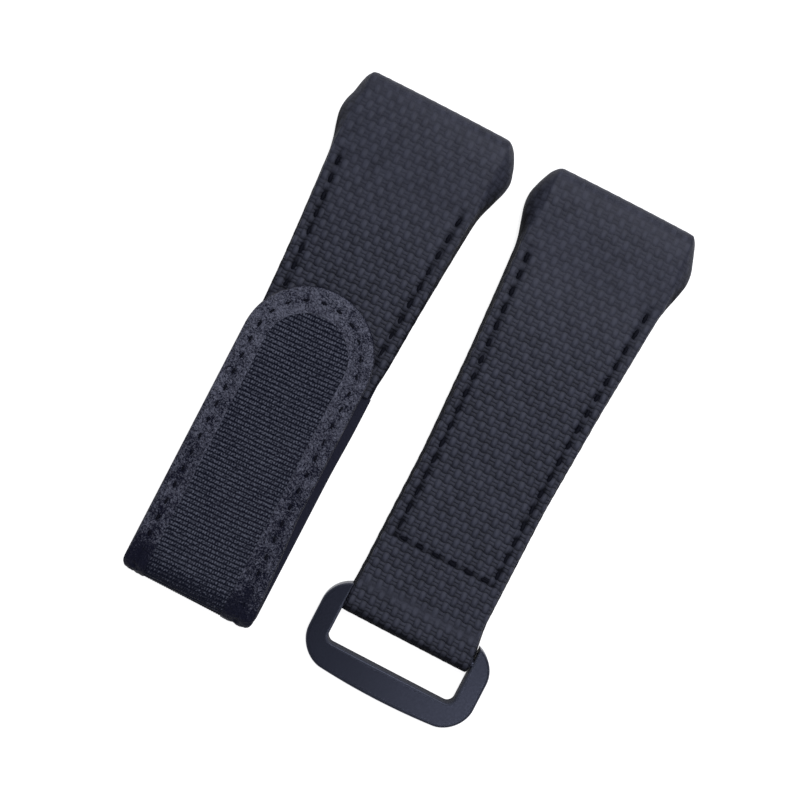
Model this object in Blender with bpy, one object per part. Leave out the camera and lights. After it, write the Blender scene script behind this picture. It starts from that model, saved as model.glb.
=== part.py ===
"""Hook and loop watch strap: two loose halves lying side by side, wrist side down.

Metres, +Z up, +Y towards the ends that meet the watch case, X across the strap.
The origin is on the surface the strap lies on, midway between the two halves.
"""
import math

import bmesh
import bpy
import numpy as np

# Driving dimensions, in metres.

# Placing and overall size of both halves; the head gap lies between the two heads' wings.
HEAD_GAP = 0.0028
HALF_LENGTH = 0.0820
HOOK_HALF_LENGTH = 0.0816
JOIN_GAP = 0.0003
OVERRUN = 0.002

# Plan of a half: the strap's width, how far each place stands out past it on either side,
# and the places as distances from the case end.
STRAP_WIDTH = 0.0200
END_FLARE = 0.00120
WING_FLARE = 0.00395
NECK_FLARE = 0.00180
CHEST_FLARE = 0.00125
WAIST_FLARE = 0.00065
WING_AT = 0.0060
NECK_AT = 0.0120
CHEST_AT = 0.0200
WAIST_AT = 0.0300
STRAIGHT_AT = 0.0460
PLAN_ROUND = 0.0016
END_CORNER = 0.0014

# Heights of a half, measured from the wrist side.
HEAD_HEIGHT = 0.0052
NECK_HEIGHT = 0.0043
HEIGHT_ROUND = 0.0030
HOOK_DECK_HEIGHT = 0.0020
WING_HEIGHT = 0.0012
END_ROLL_LENGTH = 0.0026
END_ROLL_HEIGHT = 0.0030
EDGE_ROUND = 0.0006
CROWN = 0.00025

# Layers.
SKIN_THICKNESS = 0.0007
LINING_THICKNESS = 0.0008
LINING_INSET = 0.0004
END_WALL = 0.0010

# Case fixing inside each head.
INSERT_LENGTH = 0.0090
SLEEVE_SPACING = 0.0120
SLEEVE_FROM_END = 0.0052
SLEEVE_RADIUS = 0.0015
SLEEVE_BORE_RADIUS = 0.0008
SLEEVE_LENGTH = 0.0020
SCREW_CLEARANCE = 0.0004

# Stitching.
STITCH_PITCH = 0.00265
STITCH_INSET = 0.0021
STITCH_START = 0.0130
THREAD_RADIUS = 0.0002
THREAD_DIP = 0.00014
GROOVE_WIDTH = 0.0009
GROOVE_DEPTH = 0.00055

# Tail of the hook half: lower strip, fold, and flap lying back on top.
DECK_AT = 0.0300
SKIN_END_AT = 0.0432
HOOK_CORE_END_AT = 0.0240
TAIL_FLARE = 0.0002
FLAP_SET_IN = 0.0001
FLAP_SHIFT = 0.0008
FLAP_TAPER_LENGTH = 0.0160
LEATHER_THICKNESS = 0.0015
FOLD_INNER_RADIUS = 0.0007
FLAP_TIP_AT = 0.0316
FLAP_BORDER_WIDTH = 0.0037
FLAP_TIP_BORDER = 0.0041
PANEL_THICKNESS = 0.0006
PANEL_SINK = 0.0001
LOOP_SET_IN = 0.0020
LOOP_THICKNESS = 0.0006
HOOK_THICKNESS = 0.0007
HOOK_LENGTH = 0.0240
PATCH_FROM_FOLD = 0.0020

# Tail of the ring half and its ring.
RING_DECK_AT = 0.0480
BAR_RADIUS = 0.0007
BAR_CLEARANCE = 0.00015
TURN_BACK_LENGTH = 0.0132
ROW_FROM_TURN_BACK = 0.0012
SLOT_CLEARANCE = 0.00065
RING_LENGTH = 0.0140
RING_THICKNESS = 0.0023
RING_ARM_WIDTH = 0.0029
RING_SHIFT = 0.0003
RING_FOOT_WIDTH = 0.0034
RING_BOW = 0.0009
RING_TOP_CORNER = 0.0046
RING_FOOT_CORNER = 0.0044
SLOT_CORNER = 0.0012
RING_EDGE = 0.0003

# Sizes that follow from those above.
STRAP_HALF = STRAP_WIDTH / 2
RING_AXIS = STRAP_HALF + WING_FLARE + HEAD_GAP / 2
HOOK_AXIS = -RING_AXIS
HEAD_Y = HALF_LENGTH / 2
TAIL_Y = -HALF_LENGTH / 2
HOOK_TAIL_Y = HEAD_Y - HOOK_HALF_LENGTH
LINING_TOP = LINING_THICKNESS + JOIN_GAP
FOLD_RADIUS = FOLD_INNER_RADIUS + LEATHER_THICKNESS
FOLD_Y = HOOK_TAIL_Y + FOLD_RADIUS
FLAP_AXIS = HOOK_AXIS - FLAP_SHIFT
FLAP_HALF = STRAP_HALF - FLAP_SET_IN
FLAP_LEFT = FLAP_AXIS - FLAP_HALF
TAIL_LEFT = HOOK_AXIS - STRAP_HALF - TAIL_FLARE
TAIL_RIGHT = HOOK_AXIS + STRAP_HALF + TAIL_FLARE
FLAP_BASE = FOLD_RADIUS + FOLD_INNER_RADIUS
BORE_RADIUS = BAR_RADIUS + BAR_CLEARANCE
TURN_RADIUS = BORE_RADIUS + SKIN_THICKNESS
RING_DECK_HEIGHT = 2 * TURN_RADIUS
RING_CENTRE = RING_AXIS + RING_SHIFT
SLOT_HALF = STRAP_HALF + SLOT_CLEARANCE
RING_TOP_Y = TAIL_Y + RING_LENGTH
RING_FOOT_Y = TAIL_Y + RING_BOW
SLOT_FOOT_Y = RING_FOOT_Y + RING_FOOT_WIDTH
BAR_Y = RING_TOP_Y - RING_ARM_WIDTH
TURN_BACK_Y = BAR_Y + TURN_BACK_LENGTH
BOTTOM_ROW_Y = TURN_BACK_Y - ROW_FROM_TURN_BACK

# Angles of the fold's hinge lines, from straight down, in degrees.
FOLD_LINE_ANGLES = (30, 90, 150)

# Shares of the edge's rounding and of the upper face's half width at which a section has a point.
EDGE_SHARE = 0.3
CROWN_SHARE = 0.6

# Share of a quarter turn at which a round end is closed flat.
CLOSING_SHARE = 0.96


def remove_everything():
    for item in list(bpy.data.objects):
        bpy.data.objects.remove(item, do_unlink=True)


def make_material(name, colour, roughness, metallic=0.0):
    """A plain surface of one linear colour."""
    material = bpy.data.materials.new(name)
    material.use_nodes = True
    shader = material.node_tree.nodes["Principled BSDF"]
    shader.inputs["Base Color"].default_value = (*colour, 1.0)
    shader.inputs["Roughness"].default_value = roughness
    shader.inputs["Metallic"].default_value = metallic
    return material


def make_object(name, mesh, material=None):
    item = bpy.data.objects.new(name, mesh)
    bpy.context.scene.collection.objects.link(item)
    if material:
        mesh.materials.append(material)
    return item


def loft(name, rings, material=None, closed=False):
    """Skin a list of equal point rings; the ends are capped unless the loft closes on itself."""
    mesh = bpy.data.meshes.new(name)
    count = len(rings[0])
    points = [point for ring in rings for point in ring]
    faces = []
    last = len(rings) if closed else len(rings) - 1
    for station in range(last):
        here = station * count
        there = ((station + 1) % len(rings)) * count
        for corner in range(count):
            turn = (corner + 1) % count
            faces.append((here + corner, here + turn, there + turn, there + corner))
    if not closed:
        faces.append(tuple(reversed(range(count))))
        faces.append(tuple(range(last * count, last * count + count)))
    mesh.from_pydata(points, [], faces)
    work = bmesh.new()
    work.from_mesh(mesh)
    bmesh.ops.recalc_face_normals(work, faces=work.faces)
    work.to_mesh(mesh)
    work.free()
    mesh.shade_smooth()
    mesh.set_sharp_from_angle(angle=math.radians(35))
    return make_object(name, mesh, material)


def block(name, low, high, material=None):
    """A box between two corners."""
    x0, y0, z0 = low
    x1, y1, z1 = high
    rings = [[(x0, y, z0), (x1, y, z0), (x1, y, z1), (x0, y, z1)] for y in (y0, y1)]
    return loft(name, rings, material)


def cylinder(name, start, end, radius, sides=24, material=None):
    """A round bar between two points."""
    start, end = np.array(start), np.array(end)
    along = (end - start) / np.linalg.norm(end - start)
    side = np.cross(along, (0, 1, 0) if abs(along[1]) < abs(along[0]) + abs(along[2]) else (1, 0, 0))
    side = side / np.linalg.norm(side)
    other = np.cross(along, side)
    angles = [2 * math.pi * step / sides for step in range(sides)]
    offsets = [radius * (math.cos(angle) * side + math.sin(angle) * other) for angle in angles]
    rings = [[tuple(centre + offset) for offset in offsets] for centre in (start, end)]
    return loft(name, rings, material)


def combine(target, tool, operation="DIFFERENCE"):
    """Cut the tool from the target, or join it on; the tool itself is hidden."""
    modifier = target.modifiers.new(tool.name, "BOOLEAN")
    modifier.operation = operation
    modifier.solver = "EXACT"
    modifier.object = tool
    tool.hide_render = True
    tool.display_type = "WIRE"


def rounded_run(distance, places, values, reach):
    """Value at a distance on straight runs between the places, averaged over a reach each way.

    The average rounds the corners where two runs meet and leaves the runs themselves straight.
    """
    steps = 4
    shares = np.arange(-steps, steps + 1) / steps
    return float(np.interp(distance + shares * reach, places, values).mean())


class Half:
    """Outer form of one half: its plan and heights as functions of the distance from the case end."""

    def __init__(self, axis, deck_at, deck_height, end_at):
        self.axis = axis
        self.deck_at = deck_at
        self.deck_height = deck_height
        self.end_at = end_at

    def wide(self, distance):
        """Half the width at the widest level, with rounded corners at the case end."""
        places = (0, WING_AT, NECK_AT, CHEST_AT, WAIST_AT, STRAIGHT_AT)
        flares = (END_FLARE, WING_FLARE, NECK_FLARE, CHEST_FLARE, WAIST_FLARE, 0)
        width = STRAP_HALF + rounded_run(distance, places, flares, PLAN_ROUND)
        if distance < END_CORNER:
            width -= END_CORNER - math.sqrt(END_CORNER**2 - (END_CORNER - distance) ** 2)
        return width

    def top_edge(self, distance):
        """Half the width of the upper face, which runs straight past the wings."""
        straight = STRAP_HALF + END_FLARE + (NECK_FLARE - END_FLARE) * min(distance / NECK_AT, 1.0)
        return min(straight, self.wide(distance)) - EDGE_ROUND

    def height(self, distance):
        """Height of the upper face at its edges; it rolls down at the case end."""
        places = (0, WING_AT, NECK_AT, self.deck_at)
        values = (HEAD_HEIGHT, HEAD_HEIGHT, NECK_HEIGHT, self.deck_height)
        level = rounded_run(distance, places, values, HEIGHT_ROUND)
        if distance < END_ROLL_LENGTH:
            back = 1 - distance / END_ROLL_LENGTH
            level -= END_ROLL_HEIGHT * (1 - math.sqrt(1 - back * back))
        return level

    def crown(self, across, distance):
        """How much the upper face rises at a distance across from the axis."""
        return CROWN * max(0.0, 1 - (across / self.top_edge(distance)) ** 2)

    def surface(self, across, distance):
        return self.height(distance) + self.crown(across, distance)

    def place(self, across, distance, level):
        return (self.axis + across, HEAD_Y - distance, level)

    def section(self, distance, inset, base):
        """Ring of points round the half at a distance, drawn in by the inset, standing on the base."""
        wide = self.wide(distance) - inset
        top = self.top_edge(distance) - inset
        level = self.height(distance) - inset
        wing = WING_HEIGHT if base < WING_HEIGHT < level else (base + level) / 2
        shoulder = max(level - EDGE_ROUND, (wing + level) / 2)
        right = [
            (wide - EDGE_ROUND * EDGE_SHARE, base),
            (wide, wing),
            (top + EDGE_ROUND * (1 - EDGE_SHARE), shoulder),
            (top + EDGE_ROUND * EDGE_SHARE, level - EDGE_ROUND * EDGE_SHARE),
            (top - EDGE_ROUND * EDGE_SHARE, level + self.crown(top, distance)),
            (top * CROWN_SHARE, level + self.crown(top * CROWN_SHARE, distance)),
            (0, level + self.crown(0, distance)),
        ]
        left = [(-across, z) for across, z in right[:-1]]
        ring = right + left[::-1]
        return [self.place(across, distance, z) for across, z in ring]

    def stations(self, start, end):
        """Distances at which the outline needs a section between start and end."""
        rolled = [END_ROLL_LENGTH * (1 - math.cos(math.pi / 2 * step / 5)) for step in range(6)]
        head = [END_ROLL_LENGTH + (NECK_AT - END_ROLL_LENGTH) * step / 9 for step in range(1, 10)]
        body = [NECK_AT + (self.end_at - NECK_AT) * step / 18 for step in range(1, 19)]
        inside = [at for at in rolled + head + body if start < at < end]
        return [start] + inside + [end]

    def solid(self, name, start, end, inset, base, material=None):
        rings = [self.section(at, inset, base) for at in self.stations(start, end)]
        return loft(name, rings, material)


def sweep(name, path, shape, material=None):
    """Carry a shape of (side, up) offsets along a path of points; up stays close to +Z."""
    points = np.array(path)
    tangents = np.gradient(points, axis=0)
    sides = np.cross(tangents, (0, 0, 1))
    sides /= np.linalg.norm(sides, axis=1)[:, None]
    ups = np.cross(sides, tangents)
    ups /= np.linalg.norm(ups, axis=1)[:, None]
    rings = [
        [tuple(point + side * across + up * rise) for across, rise in shape]
        for point, side, up in zip(points, sides, ups)
    ]
    return loft(name, rings, material)


def thread_and_groove(name, line, surface, owner, material):
    """A continuous sewn thread along a plan line, lying in a groove sunk into its owner."""
    sides = 6
    angles = [2 * math.pi * side / sides for side in range(sides)]
    circle = [(THREAD_RADIUS * math.cos(angle), THREAD_RADIUS * math.sin(angle)) for angle in angles]
    middle = -THREAD_RADIUS
    thread = []
    for index, (x, y) in enumerate(line):
        dip = THREAD_DIP * (1 - math.cos(math.pi / 2 * index)) / 2
        thread.append((x, y, surface(x, y) + middle - dip))
    half = GROOVE_WIDTH / 2
    channel = [(-half, -GROOVE_DEPTH), (half, -GROOVE_DEPTH), (half, OVERRUN), (-half, OVERRUN)]
    first, last = np.array(line[0]), np.array(line[-1])
    out_first = (first - np.array(line[1])) / np.linalg.norm(first - np.array(line[1]))
    out_last = (last - np.array(line[-2])) / np.linalg.norm(last - np.array(line[-2]))
    route = [tuple(first + out_first * half)] + line + [tuple(last + out_last * half)]
    groove = sweep(name + "_groove", [(x, y, surface(x, y)) for x, y in route], channel)
    combine(owner, groove)
    return sweep(name, thread, circle, material)


def end_fixing(prefix, half, metal, plastic, lining):
    """The plate inside a head and its two threaded sleeves, open to the wrist side."""
    start = END_WALL + JOIN_GAP
    inset = SKIN_THICKNESS + JOIN_GAP
    plate = half.solid(prefix + "_end_insert", start, start + INSERT_LENGTH, inset, LINING_TOP, plastic)
    y = HEAD_Y - SLEEVE_FROM_END
    for label, side in (("left", -1), ("right", 1)):
        x = half.axis + side * SLEEVE_SPACING / 2
        low = (x, y, LINING_TOP)
        high = (x, y, LINING_TOP + SLEEVE_LENGTH)
        sleeve = cylinder(f"{prefix}_screw_sleeve_{label}", low, high, SLEEVE_RADIUS, material=metal)
        below = (x, y, -OVERRUN)
        bore = cylinder(f"{prefix}_bore_{label}", below, (x, y, high[2] + OVERRUN), SLEEVE_BORE_RADIUS)
        combine(sleeve, bore)
        seat_top = (x, y, high[2] + JOIN_GAP)
        seat = cylinder(f"{prefix}_seat_{label}", below, seat_top, SLEEVE_RADIUS + JOIN_GAP)
        combine(plate, seat)
        way_in = cylinder(f"{prefix}_way_{label}", below, seat_top, SLEEVE_BORE_RADIUS + SCREW_CLEARANCE)
        combine(lining, way_in)


def lining_solid(name, half, end, material):
    """The flat wrist-side layer, drawn in a little from the skin's outline."""
    rings = []
    for distance in half.stations(0, end):
        wide = half.wide(distance) - LINING_INSET
        corners = [(-wide, 0), (wide, 0), (wide, LINING_THICKNESS), (-wide, LINING_THICKNESS)]
        rings.append([half.place(across, distance, z) for across, z in corners])
    return loft(name, rings, material)


def hook_body(materials):
    """Head and body of the hook half: skin, core, lining, case fixing and two stitch rows."""
    half = Half(HOOK_AXIS, DECK_AT, HOOK_DECK_HEIGHT, SKIN_END_AT)
    skin = half.solid("hook_skin", 0, SKIN_END_AT, 0, 0, materials["weave"])
    lining = lining_solid("hook_lining", half, SKIN_END_AT, materials["leather"])
    room = half.solid("hook_room", END_WALL, HOOK_CORE_END_AT, SKIN_THICKNESS, -OVERRUN)
    combine(skin, room)
    combine(skin, lining_space("hook_lining_space", half, OVERRUN, SKIN_END_AT + OVERRUN))
    core_start = END_WALL + INSERT_LENGTH + 2 * JOIN_GAP
    inset = SKIN_THICKNESS + JOIN_GAP
    core_end = HOOK_CORE_END_AT - JOIN_GAP
    half.solid("hook_core", core_start, core_end, inset, LINING_TOP, materials["foam"])
    end_fixing("hook", half, materials["metal"], materials["plastic"], lining)
    stitch_end = SKIN_END_AT - STITCH_PITCH
    for label, side in (("left", -1), ("right", 1)):
        line = side_line(half, side, STITCH_START, stitch_end)
        surface = surface_of(half)
        thread_and_groove(f"hook_stitch_{label}", line, surface, skin, materials["thread"])


def lining_space(name, half, before, until):
    """Room below the skin for the lining, from before the case end to the given distance."""
    reach = STRAP_HALF + WING_FLARE + OVERRUN
    low = (half.axis - reach, HEAD_Y - until, -OVERRUN)
    high = (half.axis + reach, HEAD_Y + before, LINING_TOP)
    return block(name, low, high)


def surface_of(half):
    def surface(x, y):
        return half.surface(x - half.axis, HEAD_Y - y)

    return surface


def side_line(half, side, start, end):
    """Plan points of a side row, four to a stitch, set in from the edge."""
    count = 4 * round((end - start) / STITCH_PITCH)
    line = []
    for step in range(count + 1):
        distance = start + (end - start) * step / count
        across = side * (half.wide(distance) - STITCH_INSET)
        line.append((half.axis + across, HEAD_Y - distance))
    return line


def ribbon(name, stations, material=None):
    """A flat strip from stations of (y, z, lean, left, right, low, high) with sharp edges.

    y and z are a point of the path, lean is its turn from lying flat, and low and high are offsets
    along the strip's normal.
    """
    rings = []
    for y, z, lean, left, right, low, high in stations:
        normal = np.array((math.sin(lean), math.cos(lean)))
        foot = np.array((y, z)) + normal * low
        head = np.array((y, z)) + normal * high
        rings.append([(left, *foot), (right, *foot), (right, *head), (left, *head)])
    return loft(name, rings, material)


def arc_stations(first, last, low, high, steps):
    """Stations round the fold between two angles measured from straight down."""
    stations = []
    for step in range(steps + 1):
        angle = math.radians(first + (last - first) * step / steps)
        stations.append((FOLD_Y, FOLD_RADIUS, angle + math.pi, FLAP_LEFT, TAIL_RIGHT, low, high))
    return stations


def fold_gap_angle():
    """Angle that half the join gap takes up at the fold's outer radius, in degrees."""
    return math.degrees(JOIN_GAP / 2 / FOLD_RADIUS)


def tail_strip(materials):
    """Lower leather strip of the tail, with the first part of the fold at its end."""
    start = HEAD_Y - SKIN_END_AT - JOIN_GAP
    last = FOLD_Y + PATCH_FROM_FOLD
    flat = [(y, 0, 0, TAIL_LEFT, TAIL_RIGHT, 0, LEATHER_THICKNESS) for y in (start, last)]
    end_angle = FOLD_LINE_ANGLES[0] - fold_gap_angle()
    curve = arc_stations(0, end_angle, FOLD_RADIUS, FOLD_INNER_RADIUS, 3)
    ribbon("tail_strip", flat + curve, materials["leather"])


def fold_links(materials):
    """The two middle parts of the fold, each with its origin on its own hinge line."""
    gap = fold_gap_angle()
    for number, (first, last) in enumerate(zip(FOLD_LINE_ANGLES, FOLD_LINE_ANGLES[1:]), start=1):
        stations = arc_stations(first + gap, last - gap, FOLD_RADIUS, FOLD_INNER_RADIUS, 6)
        link = ribbon(f"fold_link_{number}", stations, materials["leather"])
        set_origin(link, fold_line(first))


def fold_line(angle):
    """Point of a hinge line on the fold's outer face, in the middle of the tail."""
    turn = math.radians(angle)
    y = FOLD_Y - FOLD_RADIUS * math.sin(turn)
    z = FOLD_RADIUS - FOLD_RADIUS * math.cos(turn)
    return (FLAP_AXIS, y, z)


def set_origin(item, point):
    """Move an object's origin to a point and leave its mesh where it is."""
    for vertex in item.data.vertices:
        vertex.co.x -= point[0]
        vertex.co.y -= point[1]
        vertex.co.z -= point[2]
    item.location = point


def flap_outline(half_width, tip_y, base_y, low, high, base_right=None):
    """Stations of a strip with a round tip, from its base to the tip.

    Where a right edge is given for the base, that side runs in from there over the flap's taper.
    """
    centre = FLAP_AXIS
    shoulder = tip_y - half_width
    stations = [(base_y, 0, 0, centre - half_width, base_right or centre + half_width, low, high)]
    taper_y = base_y + FLAP_TAPER_LENGTH
    stations.append((taper_y, 0, 0, centre - half_width, centre + half_width, low, high))
    steps = 10
    for step in range(steps):
        angle = math.pi / 2 * step / steps
        wide = half_width * math.cos(angle)
        y = shoulder + half_width * math.sin(angle)
        stations.append((y, 0, 0, centre - wide, centre + wide, low, high))
    last = math.pi / 2 * CLOSING_SHARE
    wide = half_width * math.cos(last)
    y = shoulder + half_width * math.sin(last)
    stations.append((y, 0, 0, centre - wide, centre + wide, low, high))
    return stations


def flap(materials):
    """The folded-back end: leather border, ribbed panel, hook tape and one row of stitches."""
    tip_y = HEAD_Y - FLAP_TIP_AT
    top = FLAP_BASE + LEATHER_THICKNESS
    first = FOLD_LINE_ANGLES[-1] + fold_gap_angle()
    curve = arc_stations(first, 180, FOLD_INNER_RADIUS, FOLD_RADIUS, 3)
    flat = flap_outline(FLAP_HALF, tip_y, FOLD_Y + JOIN_GAP, FLAP_BASE, top, TAIL_RIGHT)
    border = ribbon("flap_border", curve + flat, materials["leather"])
    set_origin(border, fold_line(FOLD_LINE_ANGLES[-1]))

    window_half = FLAP_HALF - FLAP_BORDER_WIDTH
    window_tip = tip_y - FLAP_TIP_BORDER
    low, high = FLAP_BASE - OVERRUN, top + OVERRUN
    window = ribbon("flap_window", flap_outline(window_half, window_tip, FOLD_Y + JOIN_GAP * 2, low, high))
    combine(border, window)

    panel_half = window_half - JOIN_GAP
    panel_tip = window_tip - JOIN_GAP
    panel_top = top - PANEL_SINK
    panel_base = FOLD_Y + JOIN_GAP * 3
    stations = flap_outline(panel_half, panel_tip, panel_base, panel_top - PANEL_THICKNESS, panel_top)
    panel = ribbon("flap_panel", stations, materials["webbing"])

    hook_top = panel_top - PANEL_THICKNESS - JOIN_GAP
    hook_low = hook_top - HOOK_THICKNESS
    stations = flap_outline(panel_half, panel_tip, panel_tip - HOOK_LENGTH, hook_low, hook_top)
    patch = ribbon("hook_patch", stations, materials["hooks"])

    line = border_line(FLAP_HALF - FLAP_BORDER_WIDTH / 2, tip_y - FLAP_BORDER_WIDTH / 2)
    stitch = thread_and_groove("flap_stitch", line, lambda x, y: top, border, materials["thread"])
    for moving in (panel, patch, stitch):
        set_origin(moving, fold_line(FOLD_LINE_ANGLES[-1]))


def border_line(half_width, tip_y):
    """Plan points of the row round the border, four to a stitch: up, over the tip and down."""
    centre = FLAP_AXIS
    shoulder = tip_y - half_width
    start = FOLD_Y + STITCH_PITCH
    side = shoulder - start
    length = 2 * side + math.pi * half_width
    count = 4 * round(length / STITCH_PITCH)
    line = []
    for step in range(count + 1):
        along = length * step / count
        if along <= side:
            line.append((centre - half_width, start + along))
        elif along <= length - side:
            angle = (along - side) / half_width
            line.append((centre - half_width * math.cos(angle), shoulder + half_width * math.sin(angle)))
        else:
            line.append((centre + half_width, start + length - along))
    return line


def loop_patch(materials):
    """Soft loop tape on top of the lower strip."""
    low_y = FOLD_Y + PATCH_FROM_FOLD
    high_y = HEAD_Y - SKIN_END_AT - JOIN_GAP
    base = LEATHER_THICKNESS + JOIN_GAP
    half_width = STRAP_HALF - LOOP_SET_IN
    low = (HOOK_AXIS - half_width, low_y, base)
    high = (HOOK_AXIS + half_width, high_y, base + LOOP_THICKNESS)
    block("loop_patch", low, high, materials["loops"])


def ring_body(materials):
    """Head and body of the ring half; the skin turns back round the ring's bar."""
    straight_end = HEAD_Y - BAR_Y
    half = Half(RING_AXIS, RING_DECK_AT, RING_DECK_HEIGHT, straight_end)
    rings = [half.section(at, 0, 0) for at in half.stations(0, straight_end)]
    steps = 6
    for step in range(1, steps + 1):
        angle = math.pi / 2 * CLOSING_SHARE * step / steps
        rings.append(turn_section(half, straight_end, angle))
    skin = loft("ring_skin", rings, materials["weave"])

    lining_end = HEAD_Y - TURN_BACK_Y - JOIN_GAP
    lining = lining_solid("ring_lining", half, lining_end, materials["leather"])
    room_end = lining_end
    combine(skin, half.solid("ring_room", END_WALL, room_end, SKIN_THICKNESS, -OVERRUN))
    combine(skin, lining_space("ring_lining_space", half, OVERRUN, HEAD_Y - TURN_BACK_Y))

    reach = STRAP_HALF + OVERRUN
    slit_low = (RING_AXIS - reach, BAR_Y, SKIN_THICKNESS)
    slit_high = (RING_AXIS + reach, TURN_BACK_Y + OVERRUN, RING_DECK_HEIGHT - SKIN_THICKNESS)
    combine(skin, block("ring_slit", slit_low, slit_high))
    left = (RING_AXIS - reach, BAR_Y, TURN_RADIUS)
    right = (RING_AXIS + reach, BAR_Y, TURN_RADIUS)
    combine(skin, cylinder("ring_bar_bore", left, right, BORE_RADIUS, 32))

    inset = SKIN_THICKNESS + JOIN_GAP
    core_start = END_WALL + INSERT_LENGTH + 2 * JOIN_GAP
    core = half.solid("ring_core", core_start, lining_end, inset, LINING_TOP, materials["foam"])
    tongue_half = STRAP_HALF - SKIN_THICKNESS
    tongue_low = (RING_AXIS - tongue_half, BAR_Y + BORE_RADIUS + JOIN_GAP, LINING_TOP)
    tongue_high = (RING_AXIS + tongue_half, TURN_BACK_Y + OVERRUN, RING_DECK_HEIGHT - inset)
    combine(core, block("ring_tongue", tongue_low, tongue_high), "UNION")
    end_fixing("ring", half, materials["metal"], materials["plastic"], lining)

    line = ring_stitch_line(half)
    thread_and_groove("ring_stitch", line, surface_of(half), skin, materials["thread"])


def turn_section(half, distance, angle):
    """Section of the skin part of the way round its turn, as high as the turn is there."""
    shrink = math.cos(angle)
    ring = half.section(distance, 0, 0)
    forward = TURN_RADIUS * math.sin(angle)
    return [(x, y - forward, TURN_RADIUS + (z - TURN_RADIUS) * shrink) for x, y, z in ring]


def ring_stitch_line(half):
    """Plan points of the U: down the left side, across the bottom row, up the right side."""
    end = HEAD_Y - BOTTOM_ROW_Y
    left = side_line(half, -1, STITCH_START, end)
    right = side_line(half, 1, STITCH_START, end)[::-1]
    count = 4 * round((right[0][0] - left[-1][0]) / STITCH_PITCH)
    x0, x1 = left[-1][0], right[0][0]
    across = [(x0 + (x1 - x0) * step / count, BOTTOM_ROW_Y) for step in range(1, count)]
    return left + across + right


def rounded_loop(low, high, corner_low, corner_high, bow=0.0):
    """Closed outline of a rectangle with round corners, its lower side bowed outwards.

    Every loop has the same number of points, so that two of them can be paired point by point.
    """
    (x0, y0), (x1, y1) = low, high
    arc_steps, edge_steps = 7, 8
    corners = [
        (x1 - corner_low, y0 + corner_low, corner_low, -90),
        (x1 - corner_high, y1 - corner_high, corner_high, 0),
        (x0 + corner_high, y1 - corner_high, corner_high, 90),
        (x0 + corner_low, y0 + corner_low, corner_low, 180),
    ]
    loop = []
    for x, y, radius, start in corners:
        for step in range(arc_steps + 1):
            angle = math.radians(start + 90 * step / arc_steps)
            loop.append((x + radius * math.cos(angle), y + radius * math.sin(angle)))
    first, last = np.array(loop[-1]), np.array(loop[0])
    loop += [tuple(first + (last - first) * step / edge_steps) for step in range(1, edge_steps)]
    middle = (x0 + x1) / 2
    reach = (x1 - x0) / 2
    return [(x, y - bow * sag(x, y, middle, reach, y0, corner_low)) for x, y in loop]


def sag(x, y, middle, reach, foot, corner):
    """Share of the bow at a point: all at the middle of the foot, none past the corners."""
    level = max(0.0, 1 - (y - foot) / corner) if corner else 0.0
    return level * max(0.0, 1 - ((x - middle) / reach) ** 2)


def ring(materials):
    """The flat metal ring, whose upper side is a round bar inside the skin's turn."""
    half_width = SLOT_HALF + RING_ARM_WIDTH
    outer_low = (RING_CENTRE - half_width, RING_FOOT_Y)
    outer_high = (RING_CENTRE + half_width, RING_TOP_Y)
    outer = rounded_loop(outer_low, outer_high, RING_FOOT_CORNER, RING_TOP_CORNER, RING_BOW)
    inner_low = (RING_CENTRE - SLOT_HALF, SLOT_FOOT_Y)
    inner_high = (RING_CENTRE + SLOT_HALF, BAR_Y + BAR_RADIUS)
    inner = rounded_loop(inner_low, inner_high, SLOT_CORNER, SLOT_CORNER)
    rings = []
    for out, hole in zip(outer, inner):
        outward = np.array(out) - np.array(hole)
        outward = outward / np.linalg.norm(outward)
        out, hole = np.array(out), np.array(hole)
        inside = hole + outward * RING_EDGE
        outside = out - outward * RING_EDGE
        rings.append(
            [
                (*outside, 0),
                (*out, RING_EDGE),
                (*out, RING_THICKNESS - RING_EDGE),
                (*outside, RING_THICKNESS),
                (*inside, RING_THICKNESS),
                (*hole, RING_THICKNESS - RING_EDGE),
                (*hole, RING_EDGE),
                (*inside, 0),
            ]
        )
    frame = loft("ring", rings, materials["black_metal"], closed=True)
    notch_low = (RING_CENTRE - SLOT_HALF, BAR_Y, -OVERRUN)
    notch_high = (RING_CENTRE + SLOT_HALF, RING_TOP_Y + OVERRUN, RING_THICKNESS + OVERRUN)
    combine(frame, block("ring_notch", notch_low, notch_high))
    reach = SLOT_HALF + RING_ARM_WIDTH / 2
    left = (RING_CENTRE - reach, BAR_Y, TURN_RADIUS)
    right = (RING_CENTRE + reach, BAR_Y, TURN_RADIUS)
    combine(frame, cylinder("ring_bar", left, right, BAR_RADIUS, 16), "UNION")
    set_origin(frame, (RING_CENTRE, BAR_Y, TURN_RADIUS))


def build():
    remove_everything()
    materials = {
        "weave": make_material("woven_nylon", (0.030, 0.032, 0.045), 0.55),
        "leather": make_material("black_leather", (0.022, 0.022, 0.030), 0.5),
        "webbing": make_material("ribbed_webbing", (0.020, 0.020, 0.030), 0.8),
        "loops": make_material("loop_tape", (0.012, 0.012, 0.014), 0.95),
        "hooks": make_material("hook_tape", (0.012, 0.012, 0.014), 0.6),
        "thread": make_material("sewing_thread", (0.010, 0.010, 0.014), 0.6),
        "foam": make_material("foam_core", (0.030, 0.030, 0.030), 0.9),
        "plastic": make_material("moulded_plastic", (0.020, 0.020, 0.020), 0.5),
        "metal": make_material("steel_sleeve", (0.50, 0.50, 0.50), 0.35, 1.0),
        "black_metal": make_material("black_coated_steel", (0.035, 0.035, 0.045), 0.5, 0.6),
    }
    hook_body(materials)
    tail_strip(materials)
    fold_links(materials)
    loop_patch(materials)
    flap(materials)
    ring_body(materials)
    ring(materials)


build()
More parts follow.
